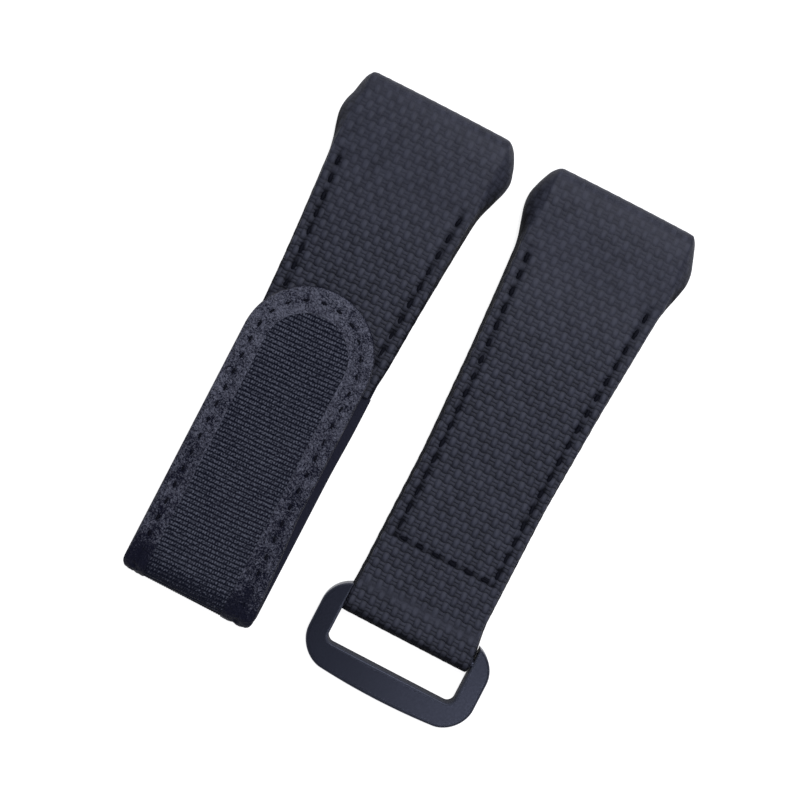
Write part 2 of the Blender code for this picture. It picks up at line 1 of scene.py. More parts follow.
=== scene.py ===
"""Looks of the hook and loop watch strap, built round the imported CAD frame. Metres, +Z up."""

import math

import bmesh
import bpy
import numpy as np
from mathutils import Matrix, Vector


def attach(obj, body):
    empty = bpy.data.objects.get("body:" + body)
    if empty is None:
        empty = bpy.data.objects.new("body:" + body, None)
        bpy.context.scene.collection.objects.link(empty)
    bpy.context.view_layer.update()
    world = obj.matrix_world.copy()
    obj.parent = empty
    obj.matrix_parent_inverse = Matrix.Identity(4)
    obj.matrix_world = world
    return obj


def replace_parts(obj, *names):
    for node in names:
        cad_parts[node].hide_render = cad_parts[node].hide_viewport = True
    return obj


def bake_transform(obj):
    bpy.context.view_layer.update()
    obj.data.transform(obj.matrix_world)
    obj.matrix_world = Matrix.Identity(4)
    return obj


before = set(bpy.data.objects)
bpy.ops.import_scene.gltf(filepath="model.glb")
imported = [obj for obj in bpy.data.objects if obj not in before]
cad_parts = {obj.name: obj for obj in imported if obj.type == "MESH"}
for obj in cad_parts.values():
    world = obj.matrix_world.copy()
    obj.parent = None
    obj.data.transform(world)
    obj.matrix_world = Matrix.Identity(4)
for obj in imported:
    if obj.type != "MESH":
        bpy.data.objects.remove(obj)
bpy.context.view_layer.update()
scene = bpy.context.scene

# Camera, light and table.
# The strap was photographed from straight above at about 140 mm, on a plain white ground, with
# soft light that comes mostly from the side of the two case ends.

CAMERA_HEIGHT = 0.140
PHOTO_PIXELS = 800
PIXELS_PER_METRE = 6687.0
CAMERA_ROLL = math.radians(-27.42)
CAMERA_TILTS = (math.radians(0.069), math.radians(-0.393))
CAMERA_OFFSET_PIXELS = (1.02, 0.49)
CAMERA_NEAR = 0.005
SKY_STRENGTH = 0.25
# Each lamp's place, width and power.
LAMPS = {"key": ((0.06, 0.22, 0.37), 0.18, 1.35), "side": ((0.12, -0.14, 0.36), 0.08, 0.30)}
TABLE_REACH = 1.5
TABLE_DROP = 0.00004
# The table's white near the strap and far off, and the distances between which it fades.
TABLE_STRENGTHS = (0.85, 0.12)
TABLE_FADES = (0.25, 1.30)


def linear(code, alpha=1.0):
    """Linear colour of an sRGB hex code."""
    channels = [int(code[place:place + 2], 16) / 255 for place in (1, 3, 5)]
    return tuple(c / 12.92 if c <= 0.04045 else ((c + 0.055) / 1.055) ** 2.4 for c in channels) + (alpha,)


def add(tree, kind, inputs=(), out=0, **settings):
    """Adds a shader node, sets its properties, sets or links its inputs, and returns one of its outputs.

    Inputs are named or numbered by a dict, or come in the node's own order; a Mix node's are 2 and 3
    for numbers, 6 and 7 for colours. With out None the node itself comes back.
    """
    item = tree.nodes.new("ShaderNode" + kind)
    for name, value in settings.items():
        setattr(item, name, value)
    for key, value in inputs.items() if isinstance(inputs, dict) else enumerate(inputs):
        if isinstance(value, bpy.types.NodeSocket):
            tree.links.new(value, item.inputs[key])
        else:
            item.inputs[key].default_value = value
    return item if out is None or not item.outputs else item.outputs[out]


def empty_tree(owner):
    """The node tree of a new material or world, with nothing in it."""
    owner.use_nodes = True
    owner.node_tree.nodes.clear()
    return owner.node_tree


def new_material(name, recipe, *settings):
    """A material whose surface is the shader that the recipe makes on its empty tree."""
    material = bpy.data.materials.new(name)
    tree = empty_tree(material)
    add(tree, "OutputMaterial", {"Surface": recipe(tree, *settings)})
    return material


def placed(name, data):
    """A new object in the scene that holds the data."""
    item = bpy.data.objects.new(name, data)
    scene.collection.objects.link(item)
    return item


def aim_camera():
    """Pinhole camera above the origin, turned so that the strap lies as photographed."""
    tilt_x, tilt_y = CAMERA_TILTS
    turn = (Matrix.Rotation(CAMERA_ROLL, 3, "Z") @ Matrix.Rotation(tilt_y, 3, "Y")
            @ Matrix.Rotation(tilt_x, 3, "X")).transposed()
    camera = placed("camera", bpy.data.cameras.new("camera"))
    camera.data.angle = 2 * math.atan(PHOTO_PIXELS / 2 / (PIXELS_PER_METRE * CAMERA_HEIGHT))
    camera.data.clip_start = CAMERA_NEAR
    right, up = turn.col[0], turn.col[1]
    shift = (up * CAMERA_OFFSET_PIXELS[1] - right * CAMERA_OFFSET_PIXELS[0]) / PIXELS_PER_METRE
    camera.matrix_world = Matrix.Translation(Vector((0, 0, CAMERA_HEIGHT)) + shift) @ turn.to_4x4()
    scene.camera = camera


def seen_white(tree, shader, strength):
    """Mixes a shader with white that the camera, mirrors and glass see, and no other ray."""
    path = add(tree, "LightPath", out=None).outputs
    direct = add(tree, "Math", (path["Is Camera Ray"], path["Is Glossy Ray"]), operation="MAXIMUM")
    seen = add(tree, "Math", (direct, path["Is Transmission Ray"]), operation="MAXIMUM")
    white = add(tree, "Emission", {"Color": (1, 1, 1, 1), "Strength": strength})
    return add(tree, "MixShader", (seen, shader, add(tree, "AddShader", (shader, white))))


def soft_light():
    """A plain grey sky, a wide lamp towards the case ends and a small one over the ring."""
    scene.world = bpy.data.worlds.new("studio")
    tree = empty_tree(scene.world)
    sky = add(tree, "Background", {"Color": linear("#f4f6ff"), "Strength": SKY_STRENGTH})
    add(tree, "OutputWorld", {"Surface": sky})
    scene.view_settings.view_transform = "Standard"
    for name, (place, size, power) in LAMPS.items():
        lamp = placed(name, bpy.data.lights.new(name, "AREA"))
        lamp.data.shape = "DISK"
        lamp.data.size = size
        lamp.data.energy = power
        lamp.data.color = linear("#fbfbff")[:3]
        lamp.location = place
        lamp.rotation_euler = (-Vector(place)).to_track_quat("-Z", "Y").to_euler()


def white_paper(tree):
    """Uncoated white paper: matt, with a faint shadow, and far off it fades into the sky."""
    matt = add(tree, "BsdfDiffuse", {"Color": linear("#b4b4b6")})
    away = add(tree, "VectorMath", (add(tree, "TexCoord", out="Object"),), out="Value", operation="LENGTH")
    strength = add(tree, "MapRange", (away, *TABLE_FADES, *TABLE_STRENGTHS), interpolation_type="SMOOTHSTEP")
    return seen_white(tree, matt, strength)


def white_table():
    """A wide sheet a hair below the strap."""
    signs = ((-1, -1), (1, -1), (1, 1), (-1, 1))
    corners = [(x * TABLE_REACH, y * TABLE_REACH, -TABLE_DROP) for x, y in signs]
    table = placed("table", bpy.data.meshes.new("table"))
    table.data.from_pydata(corners, [], [(0, 1, 2, 3)])
    table.data.materials.append(new_material("white_paper", white_paper))


aim_camera()
soft_light()
white_table()

# Woven skins of both halves.
# Coarse black nylon, a plain weave of paired threads, folded over a padded head and pressed
# flat at the case end. The ring half's skin turns round the ring's bar at its other end.

RING_AXIS = 0.01535
HOOK_AXIS = -RING_AXIS
HEAD_Y = 0.0410
STRAP_HALF = 0.0100

# Flares that widen half the plan, at their distances from the case end, and how the face runs.
FLARE_PLACES = (0, 0.0060, 0.0120, 0.0200, 0.0300, 0.0460)
FLARES = (0.00120, 0.00395, 0.00180, 0.00125, 0.00065, 0)
FLARE_BLEND = 0.0016
PLAN_CORNER = 0.0014
FACE_FLARE = 0.00120
FACE_SPLAY = 0.00060
FACE_SPLAY_LENGTH = 0.0120
SHOULDER = 0.0006

# Heights of the face along the head, the roll of the case end, and the walls.
HEAD_LEVELS = (0.0052, 0.0052, 0.0043)
LEVEL_BLEND = 0.0030
CASE_ROLL_LENGTH = 0.0026
CASE_ROLL_DROP = 0.0030
CROWN = 0.00025
WING_LEVEL = 0.0012
LEAST_WING = 0.0002
WIDEST_SHARE = 0.80
WALL_TUCK = 0.00022
SKIN_FOOT = 0.00095
LEAST_HEIGHT = 0.00002

# The head's swollen corner and its pinch.
CORNER_FROM = -0.0012
CORNER_LENGTH = 0.0052
PINCH_AT = 0.0065
PINCH_WIDTH = 0.0028

# The two ends: the hook half's narrows under the flap, the ring half's widens and turns.
SKIN_END_AT = 0.0432
END_NARROWS = 0.0060
END_SPREAD = 1.004
FOOT_WIDENS = (-0.0230, -0.0300)
FOOT_SPREAD = 1.056
FOOT_LEAN = 0.00030
BAR_Y = -0.0299
TURN_RADIUS = 0.00155
TURN_BACK_Y = -0.0167
TURN_BACK_BLEND = 0.0004
TURN_BACK_FOOT = 0.00003
UNDER_TUCK = 0.00035
CREASE_Y = -0.0262
CREASE_WIDTH = 0.0009

# The weave: widths of a thread pair, how its rows wander, and how far it stands out.
THREAD_ACROSS = 0.00092
THREAD_ALONG = 0.00130
WANDER_ALONG = 0.0031
WANDER_ACROSS = 0.0047
SWAY_ACROSS = 0.0039
PAIR_RISE = 0.00021
CROSS_RISE = 0.00007

# The sewn rows.
STITCH_PITCH = 0.00265
STITCH_INSET = 0.0021
STITCH_START = 0.0130
BOTTOM_ROW_Y = -0.0179
ROW_OVERRUN = 0.0004
TROUGH_WIDTH = 0.00044
TROUGH_DEPTH = 0.00034
SEWN_ABOVE = 0.0014

# Steps of the grid.
ROW_STEP = 0.000172
ROLL_STEPS = 26
FACE_STEPS = 62
WALL_STEPS = 24
TURN_STEPS = 15

# Ranges over which the look changes: distances from the case end at which the weave comes up on the
# head and on the body, those of a shallow dent behind the head, those over which the walls take
# painted shade, and the y values between which the cloth turns under the bar, where its weave
# flattens and it takes painted shade.
HEAD_WEAVE = (0.0020, 0.0060)
BODY_WEAVE = (0.0100, 0.0330)
DENT = 0.00007
DENT_ABOVE = 0.002
DENT_FALL = (0.0120, 0.0132)
DENT_RISE = (0.0200, 0.0140)
WALL_SHADE = (0.0058, 0.0098)
BAR_SHADE = (BAR_Y + 0.0002, BAR_Y - 0.0007)

# What differs between the halves, from the photograph. spread is how much wider the whole plan is;
# deck_at and deck_level are where and at what height the face stops sinking; corner and pinch are
# the shares by which the head swells and draws in, and lean is how far it sits aside of the axis,
# most at lean_at from the case end and fading over lean_over.
HOOK_CUT = {"axis": HOOK_AXIS, "spread": 1.028, "deck_at": 0.0300, "deck_level": 0.0020, "corner": 0.020,
            "pinch": 0.018, "lean": 0.00040, "lean_at": 0.0040, "lean_over": 0.0030}
RING_CUT = {"axis": RING_AXIS, "spread": 1.012, "deck_at": 0.0480, "deck_level": 0.0031, "corner": 0.004,
            "pinch": 0.024, "lean": -0.00034, "lean_at": 0.0020, "lean_over": 0.0045}


def solid_from_grid(name, points, uv=None, fields=None, sharp=None, material=None):
    """Closed mesh of a (rows, columns, 3) grid whose last column joins the first.

    uv has one more column than the grid; fields are named values per point, and edges that bend by
    more than sharp degrees stay crisp.
    """
    rows, columns = points.shape[:2]
    row, column = np.meshgrid(np.arange(rows - 1), np.arange(columns), indexing="ij")
    row, column = row.ravel(), column.ravel()
    right = (column + 1) % columns
    corners = np.stack([row * columns + column, row * columns + right,
                        (row + 1) * columns + right, (row + 1) * columns + column], 1)
    mesh = bpy.data.meshes.new(name)
    mesh.vertices.add(rows * columns)
    mesh.vertices.foreach_set("co", points.astype(np.float32).ravel())
    mesh.loops.add(corners.size)
    mesh.loops.foreach_set("vertex_index", corners.astype(np.int32).ravel())
    mesh.polygons.add(len(corners))
    mesh.polygons.foreach_set("loop_start", np.arange(0, corners.size, 4, dtype=np.int32))
    mesh.update(calc_edges=True)
    if uv is not None:
        layer = mesh.uv_layers.new(name="weave")
        across = column + 1
        quads = np.stack([uv[row, column], uv[row, across], uv[row + 1, across], uv[row + 1, column]], 1)
        layer.data.foreach_set("uv", quads.astype(np.float32).ravel())
    for label, values in (fields or {}).items():
        attribute = mesh.attributes.new(label, "FLOAT", "POINT")
        attribute.data.foreach_set("value", values.astype(np.float32).ravel())
    turn_outwards(mesh)
    if sharp:
        mesh.set_sharp_from_angle(angle=math.radians(sharp))
    if material:
        mesh.materials.append(material)
    return placed(name, mesh)


def turn_outwards(mesh):
    """Merges points that coincide, which closes poles and seams, and turns the faces outwards."""
    work = bmesh.new()
    work.from_mesh(mesh)
    bmesh.ops.remove_doubles(work, verts=work.verts, dist=1e-7)
    bmesh.ops.recalc_face_normals(work, faces=work.faces)
    work.to_mesh(mesh)
    work.free()
    mesh.shade_smooth()


def averaged(distance, places, values, reach):
    """Value on straight runs between the places, averaged over nine samples across twice the reach."""
    shares = np.arange(-4, 5) / 4
    return np.interp(distance[:, None] + shares * reach, places, values).mean(axis=1)


def smooth(low, high, value):
    """Smooth step from 0 at low to 1 at high."""
    share = np.clip((value - low) / (high - low), 0, 1)
    return share * share * (3 - 2 * share)


def bell(value, width):
    """Bell curve about 0: 1 there, 0.37 at the width on either side."""
    return np.exp(-(value / width) ** 2)


def plan_half(distance):
    """Half the plan width: straight runs between flares, rounded where they meet and at the end."""
    inward = np.clip(PLAN_CORNER - distance, 0, PLAN_CORNER)
    rounded = STRAP_HALF + averaged(distance, FLARE_PLACES, FLARES, FLARE_BLEND) - PLAN_CORNER
    return rounded + np.sqrt(PLAN_CORNER**2 - inward**2)


def face_half(distance):
    """Half the width of the upper face, which runs straight past the wings."""
    straight = STRAP_HALF + FACE_FLARE + FACE_SPLAY * np.minimum(distance / FACE_SPLAY_LENGTH, 1)
    return np.minimum(straight, plan_half(distance)) - SHOULDER


def face_level(distance, cut):
    """Height of the upper face at its edges, with the quarter-ellipse roll at the case end."""
    places = (*FLARE_PLACES[:3], cut["deck_at"])
    level = averaged(distance, places, (*HEAD_LEVELS, cut["deck_level"]), LEVEL_BLEND)
    back = np.clip(1 - distance / CASE_ROLL_LENGTH, 0, 1)
    return level - CASE_ROLL_DROP * (1 - np.sqrt(1 - back * back))


def half_sections(distance, cut, foot):
    """Rings of points round a half: crowned face, rounded shoulders, sloping walls down to the foot.

    One side is a face of even steps to the edge, and a wall that bows out by a quarter sine to the
    widest level and tucks in below it. The other side is its mirror.
    """
    half, edge = plan_half(distance)[:, None], face_half(distance)[:, None]
    level = face_level(distance, cut)[:, None]
    foot = foot[:, None]
    share = np.linspace(0, 1, FACE_STEPS + 1)[None, :]
    drop = np.linspace(0, 1, WALL_STEPS + 1)[None, 1:] ** 0.8
    wing = np.minimum(WING_LEVEL, (foot + level) / 2)
    out = np.sin(np.pi / 2 * np.clip(drop / WIDEST_SHARE, 0, 1)) ** 1.15
    wall_x = edge + np.maximum(half - edge, LEAST_WING) * out - smooth(WIDEST_SHARE, 1.0, drop) * WALL_TUCK
    fall = np.where(drop < WIDEST_SHARE, (drop / WIDEST_SHARE) ** 1.35 * (level - wing),
                    (level - wing) + (drop - WIDEST_SHARE) / (1 - WIDEST_SHARE) * (wing - foot))
    side_x = np.concatenate([edge * share, wall_x], 1)
    side_z = np.concatenate([level + CROWN * (1 - share**2), level - fall], 1)
    return (np.concatenate([-side_x[:, :0:-1], side_x], 1), np.concatenate([side_z[:, :0:-1], side_z], 1))


def skin_grid(cut, end, turned):
    """Bare skin of a half from the case end's roll to its other end, as grids of x, y and z.

    A half sine swells the head, a bell curve pinches it and another sets it aside. A turned skin
    widens at its foot, and its last rows go a quarter circle under the ring's bar.
    """
    roll = CASE_ROLL_LENGTH * (1 - np.cos(np.pi / 2 * np.arange(ROLL_STEPS) / ROLL_STEPS))
    straight = np.linspace(CASE_ROLL_LENGTH, end, int((end - CASE_ROLL_LENGTH) / ROW_STEP))
    distance = np.concatenate([roll, straight])
    y = HEAD_Y - distance
    foot = np.full_like(distance, SKIN_FOOT)
    if turned:
        turned_back = smooth(TURN_BACK_Y - TURN_BACK_BLEND, TURN_BACK_Y + TURN_BACK_BLEND, y)
        foot = SKIN_FOOT * turned_back + TURN_BACK_FOOT
    x, z = half_sections(distance, cut, foot)
    plump = cut["corner"] * np.sin(np.pi * np.clip((distance - CORNER_FROM) / CORNER_LENGTH, 0, 1))
    plump -= cut["pinch"] * bell(distance - PINCH_AT, PINCH_WIDTH)
    x = x * (1 + plump)[:, None] + cut["lean"] * bell(distance - cut["lean_at"], cut["lean_over"])[:, None]
    y = np.repeat(y[:, None], x.shape[1], 1)
    if not turned:
        narrowed = smooth(end - END_NARROWS, end, distance)[:, None]
        return x * (cut["spread"] - (cut["spread"] - END_SPREAD) * narrowed), y, z
    widened = smooth(*FOOT_WIDENS, y)
    x = x * (cut["spread"] + (FOOT_SPREAD - cut["spread"]) * widened) + FOOT_LEAN * widened
    angle = (np.pi / 2 * np.arange(1, TURN_STEPS + 1) / TURN_STEPS * 0.985)[:, None]
    under_x = x[-1:] - np.sign(x[-1:]) * UNDER_TUCK * (1 - np.cos(angle))
    under_y = np.broadcast_to(BAR_Y - TURN_RADIUS * np.sin(angle), under_x.shape)
    under_z = TURN_RADIUS + (z[-1:] - TURN_RADIUS) * np.cos(angle)
    return tuple(np.concatenate(pair) for pair in ((x, under_x), (y, under_y), (z, under_z)))


def weave_relief(across, along):
    """Height of a plain weave of paired threads, in metres, and its two counts of threads.

    Where the cell's column and row numbers add to an even number the lengthwise pair lies on top as
    a pillow, sine by sine to a low power and steeper towards the strap's foot; elsewhere two lower
    crosswise threads show. Slow waves let the rows wander as those of pulled cloth do.
    """
    wander = 0.05 * np.sin(along / WANDER_ALONG + 1.3) + 0.04 * np.sin(across / WANDER_ACROSS)
    u = across / THREAD_ACROSS + wander
    v = along / THREAD_ALONG + 0.05 * np.sin(across / SWAY_ACROSS + 0.5)
    v = v + 0.10 * np.cos(np.pi * v) * np.sin(np.pi * u)
    a, b = u - np.floor(u), v - np.floor(v)
    lengthwise = (np.floor(u) + np.floor(v)) % 2 < 0.5
    pillow = (np.sin(np.pi * a) ** 0.75) * (np.sin(np.pi * b**1.45) ** 0.75)
    pair = np.abs(np.sin(2 * np.pi * b)) ** 0.7 * np.sin(np.pi * a) ** 0.5
    return np.where(lengthwise, PAIR_RISE * pillow, CROSS_RISE * pair) - CROSS_RISE, u, v


def along_normals(points):
    """Unit normals of a grid from the cross product of its two central differences."""
    down, across = np.gradient(points, axis=0), np.gradient(points, axis=1)
    normals = np.cross(down, across)
    return normals / np.maximum(np.linalg.norm(normals, axis=2, keepdims=True), 1e-12)


def stitch_pull(across, along):
    """How deep a sewn row pulls the cloth in, 0 to 1: a narrow trough, deeper along each stitch."""
    return bell(across, TROUGH_WIDTH) * (0.32 + 0.68 * np.sin(np.pi * along / STITCH_PITCH) ** 2)


def sewn_troughs(cut, end, turned, x, y, z):
    """Pull of the rows down both sides, and on a turned skin of the row across its foot."""
    far = HEAD_Y - y
    inset = plan_half(np.clip(far[:, 0], 0, end))[:, None] * cut["spread"] - STITCH_INSET
    sewn_to = BOTTOM_ROW_Y if turned else HEAD_Y - SKIN_END_AT
    rows = (far > STITCH_START - ROW_OVERRUN) & (y > sewn_to - ROW_OVERRUN) & (z > SEWN_ABOVE)
    pull = stitch_pull(np.abs(x) - inset, far - STITCH_START) * rows
    if turned:
        foot_row = (np.abs(x) < inset) & (z > SEWN_ABOVE)
        pull = np.maximum(pull, stitch_pull(y - BOTTOM_ROW_Y, x) * foot_row)
    return pull


def woven_skin(name, cut, end, turned, material):
    """The outer cloth of a half as one closed form, with the weave standing out along its normals.

    The weave is weak on the pressed head and grows towards the foot, and it is weaker again on the
    walls, in a sewn row's trough and under the bar. Three more rows make the flat wall of the case
    end, and the last row is drawn together into its middle.
    """
    x, y, z = skin_grid(cut, end, turned)
    middle = x.shape[1] // 2
    across = np.cumsum(np.hypot(np.diff(x, axis=1), np.diff(z, axis=1)), 1)
    across = np.concatenate([np.zeros((len(x), 1)), across], 1)
    across = across - across[:, middle:middle + 1]
    along = np.cumsum(np.hypot(np.diff(y[:, middle]), np.diff(z[:, middle])))
    relief, u, v = weave_relief(across, np.concatenate([[0], along])[:, None])
    far = HEAD_Y - y
    pressed = 0.15 + 0.23 * smooth(*HEAD_WEAVE, far) + 0.62 * smooth(*BODY_WEAVE, far)
    if turned:
        pressed *= 1 - 0.75 * bell(y - CREASE_Y, CREASE_WIDTH)
    column = np.abs(np.arange(x.shape[1]) - middle)
    walls = smooth(FACE_STEPS, FACE_STEPS + 10, column)[None, :]
    turned_under = smooth(*BAR_SHADE, y)
    pull = sewn_troughs(cut, end, turned, x, y, z)
    height = relief * pressed * (1 - 0.75 * walls) * (1 - 0.85 * turned_under)
    height = height * (1 - 0.6 * pull) - TROUGH_DEPTH * pull
    height -= DENT * smooth(*DENT_FALL, far) * smooth(*DENT_RISE, far) * (z > DENT_ABOVE)
    points = np.stack([x + cut["axis"], y, z], 2)
    points = points + along_normals(points) * height[:, :, None]
    points[:, :, 2] = np.maximum(points[:, :, 2], LEAST_HEIGHT)
    end_wall = np.repeat(points[:1], 3, 0)
    end_wall[:, :, 2] = SKIN_FOOT + (end_wall[:, :, 2] - SKIN_FOOT) * np.array([[0.0], [0.33], [0.66]])
    last = np.broadcast_to(points[-1].mean(axis=0), points[-1:].shape)
    u = np.concatenate([np.repeat(u[:1], 3, 0), u, u[-1:]])
    v = np.concatenate([v[:1] - np.array([[1.05], [0.70], [0.35]]), v, v[-1:]])
    uv = np.stack([u, v], 2)
    uv = np.concatenate([uv, uv[:, -1:] + (2 * STRAP_HALF / THREAD_ACROSS, 0)], 1)
    # Painted shade for the colour: darker in the stitch troughs, on the walls, where the cloth turns under
    # the bar, and on the case end's wall.
    wall_shade = walls * (0.22 + 0.85 * smooth(*WALL_SHADE, far))
    shaded = np.maximum.reduce([pull, wall_shade, 0.95 * turned_under])
    fields = {"relief": np.concatenate([np.repeat(pressed[:1], 3, 0), pressed, pressed[-1:]]),
              "painted_shade": np.concatenate([np.ones((3, x.shape[1])), shaded, shaded[-1:]])}
    skin = solid_from_grid(name, np.concatenate([end_wall, points, last]), uv, fields, material=material)
    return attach(skin, "strap")


def lobes(tree, value, turns, power):
    """|sin(turns x pi x value)| to a power: that many round lobes over each step of the value."""
    angle = add(tree, "Math", (value, turns * math.pi), operation="MULTIPLY")
    wave = add(tree, "Math", (add(tree, "Math", (angle,), operation="SINE"),), operation="ABSOLUTE")
    return add(tree, "Math", (wave, power), operation="POWER")


def woven_nylon(tree):
    """Woven nylon, nearly matt: thread pairs as lobes, and streaks along their filaments.

    u and v count threads across and along, so their fractions a and b are places in one cell. The
    colour paints the weave's relief: painted light on the thread crowns, painted shade in the gaps
    between them, and each cell painted lighter on its side towards the case ends, where the key lamp
    is. The filaments are 0.05 mm thick, drawn at 0.12 mm so that they show. Patches of 1.92 mm and a
    tone of its own for each cell keep the cloth from looking printed.
    """
    cloth = add(tree, "SeparateXYZ", (add(tree, "UVMap", uv_map="weave"),), out=None).outputs
    u, v = cloth[0], cloth[1]
    relief = add(tree, "Attribute", attribute_name="relief", out="Fac")
    # Painted shade from the skin: stitch troughs, walls, the turn under the bar and the case end's wall.
    painted_shade = add(tree, "Attribute", attribute_name="painted_shade", out="Fac")
    column, row = (add(tree, "Math", (count,), operation="FLOOR") for count in (u, v))
    a, b = (add(tree, "Math", (count,), operation="FRACT") for count in (u, v))
    cells = add(tree, "Math", (column, row), operation="ADD")
    crosswise = add(tree, "Math", (cells, 2.0), operation="FLOORED_MODULO")
    parting = add(tree, "Math", (lobes(tree, a, 2, 0.35), 0.18, 0.82), operation="MULTIPLY_ADD")
    rounding = add(tree, "Math", (lobes(tree, a, 1, 0.4), 0.50, 0.50), operation="MULTIPLY_ADD")
    flank = add(tree, "Math", (parting, rounding), operation="MULTIPLY")
    lengthwise_form = add(tree, "Math", (flank, lobes(tree, b, 1, 0.4)), operation="MULTIPLY")
    crosswise_ends = add(tree, "Math", (lobes(tree, a, 1, 0.5), 0.44, 0.42), operation="MULTIPLY_ADD")
    crosswise_form = add(tree, "Math", (lobes(tree, b, 2, 0.6), crosswise_ends), operation="MULTIPLY")
    both_forms = add(tree, "Mix", {0: crosswise, 2: lengthwise_form, 3: crosswise_form}, data_type="FLOAT")
    # Painted light: each cell is lighter on its side towards the case ends, where the key lamp is.
    lit_side = add(tree, "Math", (b, -0.42, 1.18), operation="MULTIPLY_ADD")
    form = add(tree, "Math", (both_forms, lit_side), operation="MULTIPLY")
    finer_u = add(tree, "Math", (crosswise, -3.2, 4.6), operation="MULTIPLY_ADD")
    finer_v = add(tree, "Math", (crosswise, 4.4, 2.2), operation="MULTIPLY_ADD")
    streaks = add(tree, "CombineXYZ", (add(tree, "Math", (u, finer_u), operation="MULTIPLY"),
                                       add(tree, "Math", (v, finer_v), operation="MULTIPLY")))
    filament = add(tree, "TexNoise", {"Vector": streaks, "Scale": 1.0, "Detail": 2.0, "Roughness": 0.6})
    patches = add(tree, "TexNoise", {"Vector": add(tree, "TexCoord", out="Object"), "Scale": 1000 / 1.923,
                                     "Detail": 3.0})
    cell = add(tree, "CombineXYZ", (column, row))
    lot = add(tree, "TexWhiteNoise", {"Vector": cell}, noise_dimensions="2D")
    pillow = add(tree, "Math", (lobes(tree, a, 1, 1.6), lobes(tree, b, 1, 1.6)), operation="MULTIPLY")
    lengthwise = add(tree, "Math", (1.0, crosswise), operation="SUBTRACT")
    dot = add(tree, "Math", (pillow, lengthwise), operation="MULTIPLY")
    # On the pressed head, painted light on the lengthwise crowns.
    calm = add(tree, "Math", (dot, 0.32, 0.72), operation="MULTIPLY_ADD")
    flat = add(tree, "Mix", {0: relief, 2: calm, 3: form}, data_type="FLOAT")
    own_tone = add(tree, "Math", (lot, 0.16, -0.38), operation="MULTIPLY_ADD")
    uneven = add(tree, "Math", (patches, 0.60, own_tone), operation="MULTIPLY_ADD")
    mixed = add(tree, "Math", (flat, uneven), operation="ADD")
    streaked = add(tree, "Math", (filament, 0.70, -0.35), operation="MULTIPLY_ADD")
    grain = add(tree, "Math", (mixed, streaked), operation="ADD")
    # Colour: the weave's relief is painted as light on the crowns and shade in the gaps, then the skin's
    # painted shade darkens it.
    tone = add(tree, "Math", (painted_shade, -0.70, grain), operation="MULTIPLY_ADD")
    colour = add(tree, "Mix", {0: tone, 6: linear("#04050e"), 7: linear("#373945")}, out=2, data_type="RGBA")
    standing = add(tree, "Math", (form, relief), operation="MULTIPLY")
    height = add(tree, "Math", (filament, 0.20, standing), operation="MULTIPLY_ADD")
    bump = add(tree, "Bump", {"Strength": 0.85, "Distance": 0.00009, "Height": height})
    streak_rough = add(tree, "Math", (filament, 0.16, 0.50), operation="MULTIPLY_ADD")
    rough = add(tree, "Math", (painted_shade, 0.30, streak_rough), operation="MULTIPLY_ADD")
    return add(tree, "BsdfPrincipled", {"Base Color": colour, "Roughness": rough, "Normal": bump,
                                        "IOR": 1.53, "Specular IOR Level": 0.14})


nylon = new_material("woven_nylon", woven_nylon)
hook_weave = woven_skin("hook_weave", HOOK_CUT, SKIN_END_AT, False, nylon)
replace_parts(hook_weave, "hook_skin", "hook_core")
ring_weave = woven_skin("ring_weave", RING_CUT, HEAD_Y - BAR_Y, True, nylon)
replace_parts(ring_weave, "ring_skin", "ring_core")

# Top stitching of both halves.
# Black bonded polyester thread, sewn through skin and lining in stitches of 2.65 mm. Each stitch
# lies in the trough it pulls in the cloth and dives into it at both ends.

THREAD_RADIUS = 0.00026
STITCH_DIVE = 0.00040
STITCH_SHARE = 0.80
STITCH_ASIDE = 0.00018
ROW_SINK = 0.00020


def thread_run(name, line, sides, ups, material, body, length_share, radius, dive):
    """Stitches between the points of a line, one to each span.

    A stitch is a round thread whose middle rises by a half cosine over its length and whose ends
    taper; two strands are twisted into it, so its radius swells and shrinks as the twist turns.
    """
    random = np.random.default_rng(len(line))
    starts, ends = line[:-1], line[1:]
    middle, run = (starts + ends) / 2, (ends - starts) * length_share
    run = run * random.uniform(0.80, 1.04, (len(run), 1))
    stout = random.uniform(0.78, 1.12, (len(run), 1, 1, 1))
    run = run + (sides[:-1] + sides[1:]) / 2 * random.uniform(-STITCH_ASIDE, STITCH_ASIDE, (len(run), 1))
    t = np.linspace(-0.5, 0.5, 13)[None, :, None, None]
    turn = np.linspace(0, 2 * np.pi, 8, endpoint=False)[None, None, :, None]
    arch = np.cos(np.pi * t)
    taper = np.sqrt(np.clip(1 - (2 * t) ** 4, 0.02, 1))
    twist = 1 + 0.13 * np.cos(2 * turn + 22 * t)
    side = ((sides[:-1] + sides[1:]) / 2)[:, None, None, :]
    up = ((ups[:-1] + ups[1:]) / 2)[:, None, None, :]
    base = middle[:, None, None, :] + run[:, None, None, :] * t + up * (dive * (arch - 1) + radius * 0.1)
    ring = radius * stout * taper * twist * (side * np.cos(turn) * 1.15 + up * np.sin(turn) * 0.85)
    points = base + ring
    index = np.arange(points[..., 0].size).reshape(points.shape[:3])
    beside = np.roll(index, -1, 2)
    quads = np.stack([index[:, :-1], beside[:, :-1], beside[:, 1:], index[:, 1:]], -1)
    mesh = bpy.data.meshes.new(name)
    mesh.from_pydata(points.reshape(-1, 3).tolist(), [], quads.reshape(-1, 4).tolist()
                     + index[:, 0, ::-1].tolist() + index[:, -1].tolist())
    turn_outwards(mesh)
    mesh.materials.append(material)
    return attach(placed(name, mesh), body)


